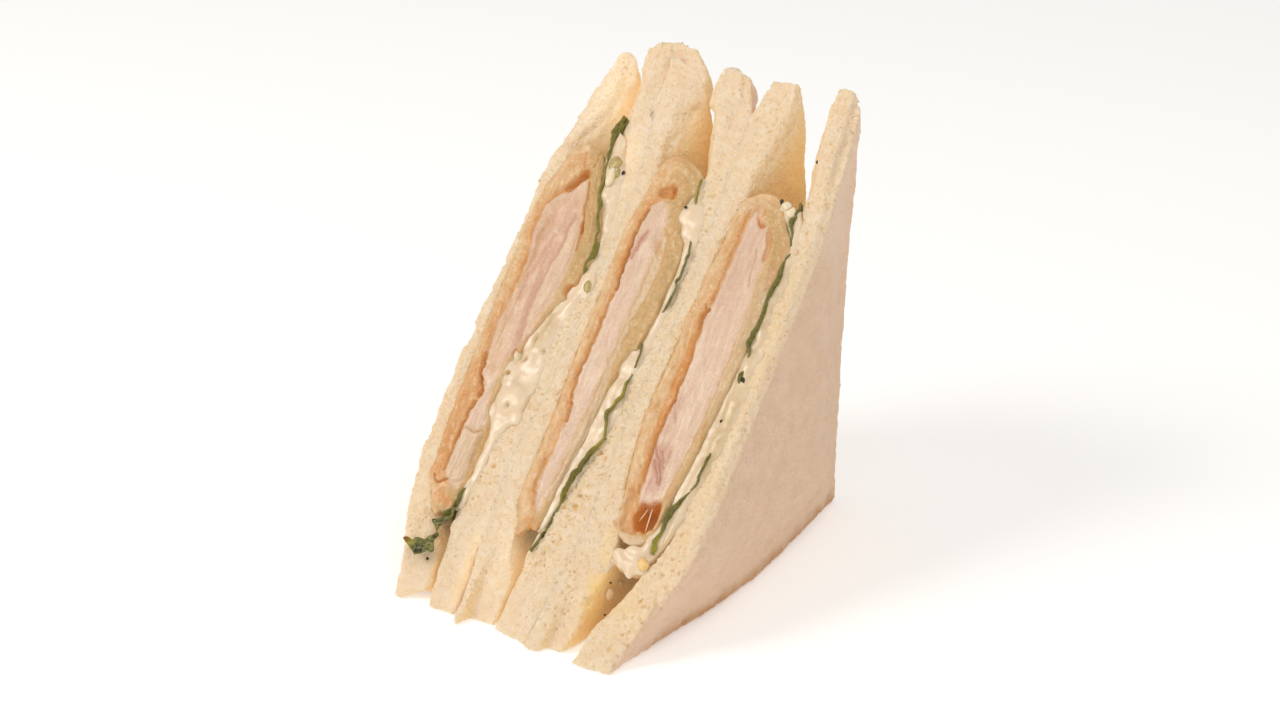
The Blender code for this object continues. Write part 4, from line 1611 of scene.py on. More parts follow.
@dataclass(frozen=True)
class Bits:
    """Small bits of one kind, in one piece.

    Attributes:
        name: The piece's name.
        slot: The record's material slot.
        places: Each bit, as a rounded lump.
        finish: Their finish.
        rough: How uneven they are.
    """

    name: str
    slot: str
    places: tuple[Blob, ...]
    finish: BitFinish
    uneven: float = 0.22

    def build(self) -> bpy.types.Object:
        """Shapes the bits and joins them."""
        made = []
        for index, blob in enumerate(self.places):
            bit = blob.build("bit")
            points = points_of(bit)
            middle = points.mean(axis=0)
            span = max(np.abs(points - middle).max(), 1e-6)
            lumps = Grain.layered((points - middle) / span + 7.0 * index, 0.9, 5 + index, 2)
            place_points(bit, middle + (points - middle) * (1.0 + self.uneven * lumps)[:, None])
            made.append(bit)
        piece = joined(made)
        piece.name = self.name
        only(piece)
        bpy.ops.object.mode_set(mode="EDIT")
        bpy.ops.mesh.select_all(action="SELECT")
        bpy.ops.mesh.normals_make_consistent(inside=False)
        bpy.ops.object.mode_set(mode="OBJECT")
        return finish_piece(piece, self.finish.build(), self.slot)


@dataclass
class LeafTip:
    """The tip of lettuce that has slipped out over the left slice's cut."""

    lobes: tuple[tuple[Place, ...], ...]
    thickness: float = 0.55

    def build(self, material: bpy.types.Material) -> bpy.types.Object:
        """Shapes and dresses the tip.

        Args:
            material: The leaf's finish.

        Returns:
            The finished piece.
        """
        parts = []
        for index, lobe in enumerate(self.lobes):
            outline = curve_through(lobe, closed=True)
            front = -0.9 - 0.45 * index
            part = slab(f"lobe {index}", outline, front, front + self.thickness, 1.0)
            parts.append(part)
        piece = joined(parts)
        piece.name = "lettuce_leaf_tip"
        knead(piece, 0.2, 3)
        points = points_of(piece)
        across, share, depth = cut_axes(points)
        flat = np.stack([across, share * CUT_LENGTH, 0 * across], axis=1)
        wave = 0.75 * Grain.layered(flat, 3.0, 71, 3) + 0.3 * np.sin(flat[:, 1] * 2.1 + across)
        lift = 0.5 * rise(-29.5, -32.0, across)
        points = points + FRONT * (wave + lift)[:, None]
        place_points(piece, points)
        relax(piece, 2)
        store(piece, "withered", rise(-29.8, -31.0, across))
        store(piece, "limy", 0.7 * rise(-28.2, -29.6, across))
        store(piece, "edge", 0.1 * rise(0.2, 0.8, Grain.smooth(flat, 1.8, 73)))
        return finish_piece(piece, material, "lettuce", "lettuce_tip")


@dataclass
class Crumbs:
    """Tiny torn flakes of crumb along one slice's edges.

    Attributes:
        number: Which slice.
        count: How many flakes.
    """

    number: int
    count: int = 45

    def build(self, slice_piece: bpy.types.Object, material: bpy.types.Material) -> bpy.types.Object:
        """Scatters the flakes along the slice's edges.

        Args:
            slice_piece: The finished slice.
            material: The crumb's finish.

        Returns:
            The finished piece, one mesh.
        """
        chance = np.random.default_rng(900 + self.number)
        points, normals = points_of(slice_piece), facing(slice_piece)
        sideways = normals[:, 0]
        edge = 4.0 * sideways**2 * (1.0 - sideways**2)
        likely = np.where((edge > 0.6) & (points[:, 2] > 1.0), 0.3 + (normals @ FRONT > 0.2), 0.0)
        picks = chance.choice(len(points), self.count, replace=False, p=likely / likely.sum())
        bpy.ops.object.select_all(action="DESELECT")
        bpy.ops.mesh.primitive_ico_sphere_add(subdivisions=2, radius=1.0)
        seedling = bpy.context.object
        seedling.name = f"crumb_flakes_{self.number}"
        form = points_of(seedling) * MM
        faces = np.array([tuple(p.vertices) for p in seedling.data.polygons])
        corners, loops = [], []
        for order, pick in enumerate(picks):
            size = chance.uniform(0.08, 0.22)
            stretch = chance.uniform(0.6, 1.6, 3)
            lumps = 1.0 + 0.45 * Grain.smooth(form * 1.6 + order * 3.1, 1.0, order)
            flake = form * lumps[:, None] * stretch * size
            outward = normals[pick] + chance.normal(0, 0.35, 3)
            outward /= np.linalg.norm(outward)
            flake += np.outer(flake @ outward, outward) * chance.uniform(0.0, 1.2)
            corners.append(flake + points[pick] + outward * 0.25 * size)
            loops.append(faces + order * len(form))
        mesh = bpy.data.meshes.new(seedling.name)
        all_corners = np.concatenate(corners)
        all_corners[:, 2] = np.maximum(all_corners[:, 2], 0.02)
        mesh.from_pydata((all_corners * MM).tolist(), [], np.concatenate(loops).tolist())
        seedling.data = mesh
        for name in ("gold", "glow", "pore", "open", "tan", "rosy"):
            store(seedling, name, np.zeros(len(all_corners)))
        return finish_piece(seedling, material, "bread")


# ---------------------------------------------------------------------------------------------------
# This stack
# ---------------------------------------------------------------------------------------------------

SLICES = (
    BreadSlice(
        1, Side.RIGHT, Side.NONE, (), (OpenCrumb(-28.0, 0.92, 6.0, 16.0, -0.45),),
        (OpenCrumb(-28.0, 0.92, 6.0, 14.0, 2.2), OpenCrumb(-30.0, 0.1, 6.0, 16.0, 0.5)), (),
        (
            ((-37.0, 0.72), (-39.9, 0.74), (-39.6, 0.775), (-38.8, 0.815), (-37.4, 0.875), (-35.8, 0.93),
             (-34.3, 0.968), (-33.0, 0.998), (-31.8, 1.014), (-29.4, 1.018), (-27.2, 1.004),
             (-26.2, 0.975), (-29.0, 0.93), (-33.5, 0.85)),
        ),
    ),
    BreadSlice(
        2, Side.LEFT, Side.RIGHT,
        (OpenCrumb(-17.5, 0.36, 2.6, 18.0, 0.5), OpenCrumb(-16.0, 0.5, 2.2, 9.0, 0.45),
         OpenCrumb(-18.5, 0.25, 2.2, 9.0, 0.4), OpenCrumb(-20.0, 0.86, 2.0, 4.0, 0.5)),
        (OpenCrumb(-12.6, 0.09, 2.2, 10.0, 0.8),),
        (OpenCrumb(-12.4, 0.1, 2.6, 12.0, 1.6), OpenCrumb(-20.0, 0.82, 5.0, 9.0, 1.6)),
        (OpenCrumb(-20.0, 0.87, 8.0, 7.0, 1.9),), (
            ((-22.5, 0.9), (-25.0, 0.98), (-25.8, 1.03), (-23.8, 1.044), (-21.6, 1.048), (-18.0, 1.048),
             (-16.3, 1.048), (-16.3, 0.9)),
        ),
    ),
    BreadSlice(
        3, Side.RIGHT, Side.LEFT, (OpenCrumb(-7.0, 0.05, 4.0, 8.0, 0.2),),
        (OpenCrumb(-4.0, 0.14, 3.0, 9.0, 0.2), OpenCrumb(-3.0, 0.12, 4.0, 14.0, -0.3)),
        (OpenCrumb(-4.0, 0.14, 6.0, 16.0, 0.9),), (),
        (
            ((-17.0, 0.9), (-19.0, 0.95), (-19.5, 1.047), (-14.0, 1.047), (-11.8, 1.045), (-10.4, 1.034),
             (-8.2, 1.02), (-6.4, 0.99), (-6.4, 0.95)),
            ((-9.5, 0.02), (-11.3, 0.02), (-11.7, 0.05), (-12.0, 0.1), (-12.6, 0.14), (-12.9, 0.17),
             (-9.5, 0.17)),
        ),
    ),
    BreadSlice(
        4, Side.LEFT, Side.RIGHT,
        (OpenCrumb(5.0, 0.22, 2.6, 11.0, 0.95), OpenCrumb(7.0, 0.3, 2.0, 9.0, 0.9),
         OpenCrumb(3.0, 0.17, 1.8, 6.0, 0.8), OpenCrumb(9.0, 0.42, 1.4, 12.0, 0.5),
         OpenCrumb(9.5, 0.76, 2.0, 12.0, 0.55)),
        fills=(((-3.2, 0.95), (-3.7, 1.0), (-2.6, 1.010), (1.0, 1.012), (4.6, 1.013), (5.8, 0.998),
                (6.2, 0.95)),), joined_from=0.02,
    ),
    BreadSlice(
        5, Side.RIGHT, Side.LEFT, (OpenCrumb(13.0, 0.12, 4.0, 10.0, 0.35),),
        (OpenCrumb(20.5, 0.11, 2.6, 9.0, 0.9), OpenCrumb(18.5, 0.19, 1.4, 8.0, 0.5),
         OpenCrumb(22.5, 0.12, 2.5, 12.0, 0.8)),
        fills=(((13.0, 0.004), (8.9, 0.004), (9.8, 0.05), (10.5, 0.1), (11.2, 0.15), (14.0, 0.16)),),
        joined_from=0.02,
    ),
    BreadSlice(
        6, Side.LEFT, Side.NONE,
        (OpenCrumb(35.5, 0.2, 3.0, 10.0, 0.45), OpenCrumb(34.5, 0.7, 2.2, 14.0, 0.45),
         OpenCrumb(31.0, 0.08, 3.5, 9.0, 0.35)),
        (OpenCrumb(29.0, 0.12, 3.0, 8.0, 0.35), OpenCrumb(36.4, 0.45, 2.2, 40.0, 0.45)),
    ),
)

FILLETS = (
    Fillet(
        1,
        outline=(
            (-23.2, 0.168), (-25.5, 0.170), (-28.5, 0.182), (-31.3, 0.198), (-33.0, 0.212),
            (-33.8, 0.235), (-34.0, 0.26), (-34.8, 0.30), (-34.8, 0.36), (-35.5, 0.40), (-36.3, 0.45),
            (-36.9, 0.50), (-37.2, 0.56), (-37.5, 0.62), (-37.8, 0.68), (-37.4, 0.73), (-36.9, 0.77),
            (-35.5, 0.795), (-33.0, 0.815), (-30.0, 0.828), (-27.0, 0.835), (-24.6, 0.832),
            (-23.4, 0.815), (-22.4, 0.795), (-21.6, 0.77), (-20.2, 0.75), (-18.6, 0.73), (-17.0, 0.71),
            (-16.0, 0.69), (-15.4, 0.67), (-15.1, 0.65), (-15.4, 0.63), (-16.0, 0.61), (-16.6, 0.59),
            (-17.2, 0.57), (-18.6, 0.56), (-20.2, 0.55), (-21.0, 0.53), (-21.8, 0.51), (-22.5, 0.49),
            (-24.0, 0.47), (-25.0, 0.45), (-25.7, 0.42), (-26.2, 0.40), (-25.6, 0.37), (-24.4, 0.345),
            (-22.8, 0.33), (-21.6, 0.31), (-21.4, 0.28), (-21.6, 0.25), (-22.0, 0.22), (-22.4, 0.195),
        ),
        meat=(
            (-34.2, 0.71), (-34.3, 0.67), (-33.4, 0.635), (-32.7, 0.59), (-32.6, 0.55), (-33.0, 0.50),
            (-32.4, 0.47), (-32.0, 0.44), (-31.2, 0.415), (-30.2, 0.40), (-29.2, 0.385), (-29.8, 0.36),
            (-30.1, 0.32), (-30.2, 0.28), (-29.9, 0.25), (-29.0, 0.232), (-27.5, 0.222), (-26.0, 0.215),
            (-24.4, 0.215), (-23.8, 0.24), (-24.0, 0.28), (-24.0, 0.31), (-24.6, 0.335), (-25.6, 0.36),
            (-26.4, 0.385), (-26.6, 0.41), (-26.0, 0.44), (-24.6, 0.465), (-23.0, 0.485), (-22.6, 0.51),
            (-22.0, 0.53), (-21.3, 0.55), (-20.6, 0.58), (-20.3, 0.62), (-20.7, 0.65), (-21.6, 0.68),
            (-22.8, 0.705), (-24.0, 0.73), (-25.0, 0.755), (-25.8, 0.775), (-27.0, 0.772),
            (-28.6, 0.758), (-30.2, 0.75), (-32.0, 0.742), (-33.4, 0.73),
        ),
        hollows=(
            Patch("dark", ((-33.2, 0.733), (-31.2, 0.745), (-29.3, 0.749), (-28.3, 0.759), (-27.2, 0.772),
                           (-26.1, 0.780), (-26.8, 0.795), (-28.2, 0.791), (-29.3, 0.779),
                           (-30.6, 0.762), (-32.2, 0.750), (-33.4, 0.740)), 0.5, -2.6, 1.0),
            Patch("dark", ((-18.6, 0.588), (-16.6, 0.591), (-16.2, 0.578), (-17.6, 0.566),
                           (-18.8, 0.572)), 0.8, -2.0, 0.8),
        ),
        patches=(
            Patch("tan", ((-24.9, 0.828), (-25.4, 0.79), (-24.6, 0.765), (-23.4, 0.735), (-22.0, 0.705),
                          (-21.0, 0.68), (-20.3, 0.65), (-20.1, 0.61), (-19.8, 0.575), (-18.6, 0.558),
                          (-17.0, 0.568), (-16.0, 0.60), (-15.0, 0.65), (-16.0, 0.69), (-18.0, 0.72),
                          (-20.0, 0.75), (-21.8, 0.78), (-22.8, 0.81), (-23.6, 0.832)), 1.0, 0.35),
            Patch("orange", ((-34.6, 0.42), (-33.2, 0.44), (-32.0, 0.42), (-31.0, 0.40), (-30.0, 0.37),
                             (-30.2, 0.30), (-30.0, 0.25), (-30.3, 0.225), (-33.0, 0.22), (-34.2, 0.26),
                             (-34.9, 0.32), (-35.2, 0.38)), 0.7, 0.1, 1.6),
            Patch("orange", ((-31.2, 0.405), (-30.3, 0.40), (-29.4, 0.387), (-28.8, 0.378),
                             (-30.0, 0.372), (-30.9, 0.385)), 0.9, -0.4, 0.6),
            Patch("orange", ((-29.5, 0.195), (-26.0, 0.18), (-23.2, 0.17), (-23.0, 0.19), (-25.0, 0.195),
                             (-28.0, 0.21)), 0.7, 0.0, 1.2),
            Patch("pale", ((-29.8, 0.245), (-30.0, 0.29), (-29.3, 0.313), (-27.0, 0.313), (-25.0, 0.313),
                           (-24.0, 0.325), (-24.0, 0.28), (-24.0, 0.235), (-26.0, 0.222),
                           (-28.5, 0.228)), 0.25, 0.5, 1.2),
            Patch("tan", ((-29.8, 0.245), (-30.0, 0.31), (-27.0, 0.315), (-24.0, 0.325), (-24.0, 0.24),
                          (-26.5, 0.222)), 0.5, 0.0, 2.0),
            Patch("tan", ((-23.9, 0.335), (-22.2, 0.33), (-21.4, 0.30), (-21.5, 0.26), (-22.3, 0.21),
                          (-23.6, 0.22), (-24.0, 0.27)), 1.0, -0.1, 0.8),
            Patch("dark", ((-23.6, 0.335), (-22.2, 0.33), (-21.4, 0.30), (-21.5, 0.26), (-22.3, 0.21),
                           (-23.2, 0.22), (-23.6, 0.27)), 0.25, 0.0, 1.2),
            Patch("orange", ((-33.6, 0.70), (-31.0, 0.735), (-26.0, 0.76), (-22.0, 0.69), (-20.8, 0.60),
                             (-23.2, 0.49), (-27.0, 0.42), (-31.2, 0.43), (-32.4, 0.52), (-33.0, 0.62)),
                  0.2, 0.0, 1.6),
            Patch("pink", ((-28.5, 0.64), (-26.2, 0.66), (-26.0, 0.58), (-25.6, 0.52), (-24.6, 0.47),
                           (-26.5, 0.46), (-28.0, 0.55)), 0.4, -0.2, 2.0),
            Patch("pale", ((-24.6, 0.70), (-23.2, 0.69), (-21.8, 0.655), (-21.5, 0.61), (-22.2, 0.57),
                           (-23.6, 0.53), (-24.8, 0.49), (-25.4, 0.50), (-26.0, 0.54), (-26.0, 0.59),
                           (-25.2, 0.64)), 0.4, 0.35, 1.2),
            Patch("tan", ((-33.2, 0.72), (-30.5, 0.72), (-30.8, 0.64), (-31.2, 0.58), (-30.4, 0.52),
                          (-28.6, 0.46), (-28.2, 0.41), (-31.0, 0.42), (-32.6, 0.46), (-33.0, 0.52),
                          (-33.0, 0.62)), 0.35, 0.1, 2.6),
            Patch("pink", ((-33.0, 0.70), (-30.0, 0.70), (-29.0, 0.64), (-31.0, 0.60),
                           (-33.0, 0.63)), 0.3, 0.0, 3.0),
            Patch("pink", ((-27.0, 0.74), (-25.0, 0.72), (-25.5, 0.66), (-28.0, 0.68)), 0.2, 0.0, 3.0),
        ),
        creases=(
            Crease(((-25.6, 0.775), (-24.3, 0.75), (-23.0, 0.72), (-21.8, 0.692), (-21.0, 0.675),
                    (-20.4, 0.65)), 0.3, 0.8, "dark", 0.45),
            Crease(((-22.4, 0.70), (-21.7, 0.69), (-21.1, 0.682)), 0.4, 0.8, "dark", 0.8),
            Crease(((-22.9, 0.487), (-22.3, 0.49), (-21.9, 0.502)), 0.45, 1.0, "dark", 0.7),
            Crease(((-24.9, 0.462), (-24.6, 0.45), (-24.3, 0.445)), 0.35, 0.8, "dark", 0.8),
            Crease(((-32.2, 0.445), (-32.0, 0.43), (-31.6, 0.41), (-30.6, 0.395), (-29.6, 0.385),
                    (-29.9, 0.37)), 0.35, 1.0, "orange", 1.0),
            Crease(((-30.1, 0.36), (-30.2, 0.32), (-30.2, 0.28), (-29.9, 0.255), (-29.6, 0.236)),
                   0.35, 0.9, "orange", 0.95),
            Crease(((-31.5, 0.223), (-30.6, 0.216), (-29.6, 0.214), (-28.8, 0.218), (-28.0, 0.225)),
                   0.3, 0.8, "orange", 0.95),
            Crease(((-28.6, 0.314), (-27.2, 0.312), (-25.6, 0.311), (-24.4, 0.316)),
                   0.2, 0.5, "orange", 0.5),
            Crease(((-29.2, 0.822), (-28.5, 0.805), (-28.0, 0.795)), 0.3, 0.5, "orange", 0.5),
            Crease(((-25.2, 0.83), (-25.6, 0.80)), 0.3, 0.5, "orange", 0.4),
            Crease(((-25.0, 0.71), (-25.6, 0.645), (-26.7, 0.584), (-26.9, 0.536), (-25.4, 0.475)),
                   0.7, 0.25, "pink", 0.45),
            Crease(((-28.2, 0.67), (-29.0, 0.635), (-30.2, 0.598), (-30.6, 0.55)), 0.6, 0.2, "pink", 0.4),
            Crease(((-31.4, 0.70), (-31.8, 0.66), (-31.4, 0.62), (-31.8, 0.57)), 0.4, 0.2, "tan", 0.6),
        ),
    ),
    Fillet(
        2,
        outline=(
            (0.6, 0.178), (-1.5, 0.182), (-4.0, 0.19), (-6.2, 0.20), (-7.6, 0.213), (-8.5, 0.235),
            (-8.7, 0.26), (-8.4, 0.30), (-8.8, 0.36), (-9.0, 0.42), (-9.5, 0.50), (-9.9, 0.56),
            (-10.5, 0.62), (-10.8, 0.67), (-10.7, 0.72), (-10.0, 0.76), (-9.3, 0.80), (-8.6, 0.825),
            (-7.2, 0.842), (-5.0, 0.85), (-2.5, 0.85), (-0.3, 0.845), (2.0, 0.838), (3.6, 0.828),
            (5.0, 0.815), (5.2, 0.80), (4.2, 0.788), (3.0, 0.78), (2.6, 0.76), (2.4, 0.745),
            (4.0, 0.725), (5.8, 0.712), (6.9, 0.695), (7.6, 0.675), (7.8, 0.65), (7.6, 0.62),
            (7.5, 0.59), (7.6, 0.565), (7.1, 0.55), (6.8, 0.53), (6.2, 0.508), (5.0, 0.505),
            (4.0, 0.50), (3.5, 0.47), (3.3, 0.43), (3.0, 0.39), (2.8, 0.35), (2.3, 0.31),
            (1.8, 0.28), (1.4, 0.25), (1.1, 0.22), (0.9, 0.20),
        ),
        meat=(
            (-6.6, 0.735), (-7.1, 0.70), (-6.8, 0.67), (-6.4, 0.63), (-6.2, 0.58), (-6.1, 0.52),
            (-6.0, 0.47), (-5.6, 0.43), (-4.9, 0.40), (-4.4, 0.37), (-4.3, 0.33), (-4.6, 0.28),
            (-4.2, 0.245), (-3.0, 0.225), (-1.6, 0.215), (-0.8, 0.225), (-0.6, 0.26), (-0.3, 0.31),
            (0.0, 0.37), (0.1, 0.45), (0.1, 0.52), (0.2, 0.60), (0.1, 0.66), (-0.2, 0.71),
            (-0.8, 0.74), (-1.6, 0.757), (-2.8, 0.762), (-4.0, 0.768), (-5.4, 0.763), (-6.2, 0.752),
        ),
        hollows=(
            Patch("dark", ((-3.2, 0.803), (-2.0, 0.797), (-1.3, 0.788), (-1.3, 0.776), (-2.1, 0.773),
                           (-2.8, 0.783)), 0.7, -3.0, 0.8),
            Patch("orange", ((-6.0, 0.782), (-4.5, 0.79), (-3.2, 0.798), (-2.6, 0.785), (-3.0, 0.774),
                             (-4.5, 0.772), (-5.8, 0.774)), 0.8, -1.4, 1.0),
        ),
        patches=(
            Patch("tan", ((1.8, 0.71), (3.4, 0.723), (5.0, 0.716), (6.6, 0.70), (7.6, 0.675),
                          (7.8, 0.64), (7.5, 0.59), (7.4, 0.56), (6.7, 0.53), (6.1, 0.508),
                          (4.8, 0.513), (3.0, 0.525), (1.6, 0.545), (2.3, 0.575), (3.2, 0.62),
                          (3.2, 0.67), (2.2, 0.695)), 0.9, 0.45),
            Patch("pale", ((0.3, 0.70), (1.4, 0.70), (2.4, 0.66), (2.6, 0.60), (1.6, 0.55), (1.4, 0.50),
                           (2.4, 0.45), (2.6, 0.38), (2.0, 0.32), (1.2, 0.27), (0.4, 0.24),
                           (-0.4, 0.25), (0.0, 0.32), (0.3, 0.40), (0.2, 0.50), (0.3, 0.60)),
                  0.8, -0.1, 0.8),
            Patch("pink", ((-6.6, 0.66), (-5.4, 0.69), (-4.4, 0.715), (-3.8, 0.70), (-4.8, 0.675),
                           (-6.0, 0.648)), 0.6, 0.0, 1.0),
            Patch("dark", ((-1.0, 0.70), (0.4, 0.695), (1.4, 0.68), (0.8, 0.672), (-0.6, 0.685)),
                  0.3, -0.2, 0.8),
            Patch("orange", ((-7.6, 0.71), (-6.8, 0.71), (-6.4, 0.66), (-6.0, 0.615), (-5.9, 0.60),
                             (-7.2, 0.61), (-7.4, 0.66)), 0.7, -0.2, 0.8),
            Patch("orange", ((-7.1, 0.475), (-6.3, 0.47), (-6.0, 0.44), (-6.6, 0.43), (-7.2, 0.45)),
                  0.85, -0.2, 0.8),
            Patch("orange", ((-4.5, 0.196), (-2.0, 0.203), (0.0, 0.20), (1.0, 0.196), (0.8, 0.18),
                             (-2.0, 0.183)), 0.55, 0.0, 1.0),
        ),
        creases=(
            Crease(((-6.5, 0.745), (-7.1, 0.71), (-7.0, 0.68), (-6.5, 0.645), (-6.3, 0.60)),
                   0.3, 0.8, "orange", 0.9),
            Crease(((-6.2, 0.59), (-6.2, 0.54), (-6.1, 0.49), (-6.0, 0.455), (-5.6, 0.425),
                    (-5.0, 0.40)), 0.25, 0.6, "orange", 0.8),
            Crease(((-4.8, 0.40), (-4.4, 0.385), (-4.1, 0.367)), 0.25, 0.7, "dark", 0.5),
            Crease(((-5.1, 0.30), (-4.9, 0.27), (-4.6, 0.25), (-4.0, 0.242)), 0.25, 0.6, "orange", 0.7),
            Crease(((-5.4, 0.66), (-4.9, 0.69), (-4.3, 0.71)), 0.2, 0.2, "pink", 0.8),
            Crease(((0.3, 0.70), (0.35, 0.62), (0.4, 0.54), (0.3, 0.46), (0.3, 0.38), (0.0, 0.32),
                    (-0.4, 0.26)), 0.15, 0.25, "orange", 0.2),
            Crease(((1.6, 0.53), (1.5, 0.47), (1.9, 0.42), (1.9, 0.36), (1.4, 0.30), (0.8, 0.25)),
                   0.18, 0.3, "orange", 0.3),
        ),
    ),
    Fillet(
        3,
        outline=(
            (27.5, 0.21), (25.0, 0.203), (22.5, 0.203), (20.5, 0.21), (19.0, 0.22), (18.4, 0.235),
            (18.2, 0.26), (17.6, 0.28), (16.9, 0.31), (16.3, 0.34), (15.4, 0.37), (14.6, 0.40),
            (14.3, 0.43), (14.5, 0.46), (15.0, 0.49), (15.4, 0.52), (14.8, 0.55), (14.2, 0.575),
            (14.5, 0.60), (15.0, 0.625), (14.6, 0.65), (14.6, 0.67), (15.3, 0.70), (15.5, 0.73),
            (15.4, 0.755), (15.9, 0.78), (16.2, 0.80), (18.5, 0.806), (21.5, 0.808), (24.5, 0.804),
            (26.6, 0.797), (28.5, 0.79), (30.0, 0.775), (31.5, 0.76), (33.0, 0.747), (33.8, 0.72),
            (33.9, 0.68), (33.6, 0.64), (33.5, 0.60), (33.4, 0.56), (33.2, 0.52), (32.8, 0.48),
            (32.4, 0.44), (32.0, 0.40), (31.6, 0.36), (31.0, 0.32), (30.3, 0.28), (29.7, 0.25),
            (29.0, 0.225),
        ),
        meat=(
            (20.2, 0.755), (20.0, 0.70), (20.2, 0.66), (19.9, 0.625), (19.3, 0.59), (19.5, 0.55),
            (20.1, 0.50), (20.2, 0.45), (20.0, 0.41), (20.3, 0.37), (20.8, 0.33), (21.2, 0.30),
            (22.0, 0.272), (23.2, 0.264), (25.2, 0.266), (26.2, 0.275), (27.8, 0.276), (28.3, 0.30),
            (28.8, 0.35), (29.5, 0.40), (30.0, 0.46), (30.0, 0.54), (29.8, 0.60), (29.0, 0.65),
            (28.6, 0.70), (27.2, 0.73), (26.4, 0.757), (25.0, 0.762), (23.8, 0.768), (22.6, 0.785),
            (21.5, 0.785), (20.7, 0.775),
        ),
        hollows=(
            Patch("dark", ((22.6, 0.270), (23.6, 0.276), (25.0, 0.275), (26.2, 0.281), (27.9, 0.281),
                           (28.4, 0.255), (28.6, 0.238), (27.2, 0.236), (26.6, 0.226), (25.0, 0.23),
                           (24.0, 0.224), (23.0, 0.236), (22.2, 0.25)), 0.9, -6.0, 1.6),
            Patch("dark", ((21.5, 0.79), (22.4, 0.778), (23.2, 0.768), (24.1, 0.765), (25.2, 0.76),
                           (24.2, 0.757), (23.2, 0.759), (22.3, 0.772)), 0.85, -2.2, 0.5),
        ),
        patches=(
            Patch("orange", ((18.6, 0.605), (19.5, 0.60), (19.3, 0.57), (20.0, 0.51), (20.2, 0.45),
                             (20.0, 0.40), (20.6, 0.35), (21.0, 0.31), (19.8, 0.31), (19.0, 0.36),
                             (18.2, 0.42), (18.0, 0.50), (18.2, 0.56)), 1.15, -0.2, 1.4),
            Patch("tan", ((30.2, 0.56), (30.0, 0.48), (29.8, 0.40), (29.0, 0.33), (28.6, 0.28),
                          (30.0, 0.27), (31.0, 0.31), (32.0, 0.38), (32.8, 0.46), (33.4, 0.56),
                          (33.6, 0.64), (33.9, 0.70), (33.5, 0.735), (31.5, 0.76), (29.5, 0.755),
                          (28.6, 0.74), (29.2, 0.70), (29.8, 0.64)), 0.3, 0.15),
            Patch("pale", ((30.2, 0.56), (30.0, 0.48), (31.4, 0.42), (32.6, 0.50), (33.2, 0.60),
                           (33.6, 0.66), (32.0, 0.70), (30.0, 0.66)), 0.5, 0.0, 1.6),
            Patch("pale", ((16.6, 0.79), (20.0, 0.80), (24.0, 0.795), (22.0, 0.78), (18.0, 0.77)), 0.4, 0.1, 1.6),
            Patch("dark", ((30.8, 0.695), (32.5, 0.70), (33.9, 0.69), (33.7, 0.655), (32.3, 0.652),
                           (31.0, 0.665)), 0.35, -0.2, 1.2),
            Patch("orange", ((26.0, 0.76), (27.2, 0.75), (28.3, 0.73), (28.6, 0.71), (28.0, 0.70),
                             (27.2, 0.715), (26.6, 0.735)), 0.55, -0.8, 0.8),
            Patch("pink", ((20.6, 0.375), (22.5, 0.37), (25.0, 0.372), (25.4, 0.335), (25.5, 0.305),
                           (24.2, 0.29), (22.6, 0.30), (21.5, 0.33)), 0.75, 0.0, 3.2),
            Patch("pink", ((20.3, 0.46), (23.0, 0.45), (23.5, 0.42), (22.0, 0.39), (20.3, 0.40)),
                  0.25, 0.0, 1.6),
            Patch("pink", ((20.4, 0.74), (24.0, 0.74), (25.5, 0.68), (24.0, 0.62), (20.4, 0.62)),
                  0.22, 0.0, 3.0),
            Patch("orange", ((19.4, 0.29), (21.0, 0.28), (22.6, 0.264), (23.4, 0.24), (24.6, 0.226), (23.0, 0.222),
                             (20.6, 0.226), (19.2, 0.25)), 0.7, -0.9, 1.4),
            Patch("pale", ((20.8, 0.222), (24.0, 0.22), (26.5, 0.222), (27.5, 0.212), (25.0, 0.204),
                           (22.0, 0.205)), 0.7, 0.1, 0.8),
        ),
        creases=(
            Crease(((19.6, 0.605), (19.2, 0.585), (19.5, 0.55), (20.1, 0.50), (20.2, 0.45),
                    (20.0, 0.41), (20.4, 0.36), (21.0, 0.31), (21.4, 0.285)), 0.3, 0.8, "orange", 0.9),
            Crease(((18.3, 0.61), (19.0, 0.603), (19.6, 0.605)), 0.25, 0.6, "orange", 0.8),
            Crease(((19.8, 0.78), (19.5, 0.74), (19.4, 0.70), (19.6, 0.66), (19.6, 0.62)),
                   0.3, 0.5, "orange", 0.5),
            Crease(((20.9, 0.365), (22.2, 0.352), (23.6, 0.34), (24.8, 0.322), (25.2, 0.31)),
                   0.22, 0.3, "pink", 1.0),
            Crease(((21.8, 0.345), (23.2, 0.33), (24.6, 0.312)), 0.2, 0.3, "pink", 1.0),
            Crease(((22.8, 0.362), (24.0, 0.345), (25.0, 0.335)), 0.2, 0.3, "pink", 0.9),
            Crease(((29.6, 0.56), (29.7, 0.48), (29.4, 0.41), (28.8, 0.35), (28.2, 0.30)),
                   0.15, 0.3, "orange", 0.35),
            Crease(((25.0, 0.72), (26.0, 0.69), (26.8, 0.655)), 0.2, 0.3, "pink", 0.4),
            Crease(((20.3, 0.45), (21.6, 0.43), (23.0, 0.41)), 0.2, 0.3, "pink", 0.35),
        ),
    ),
)

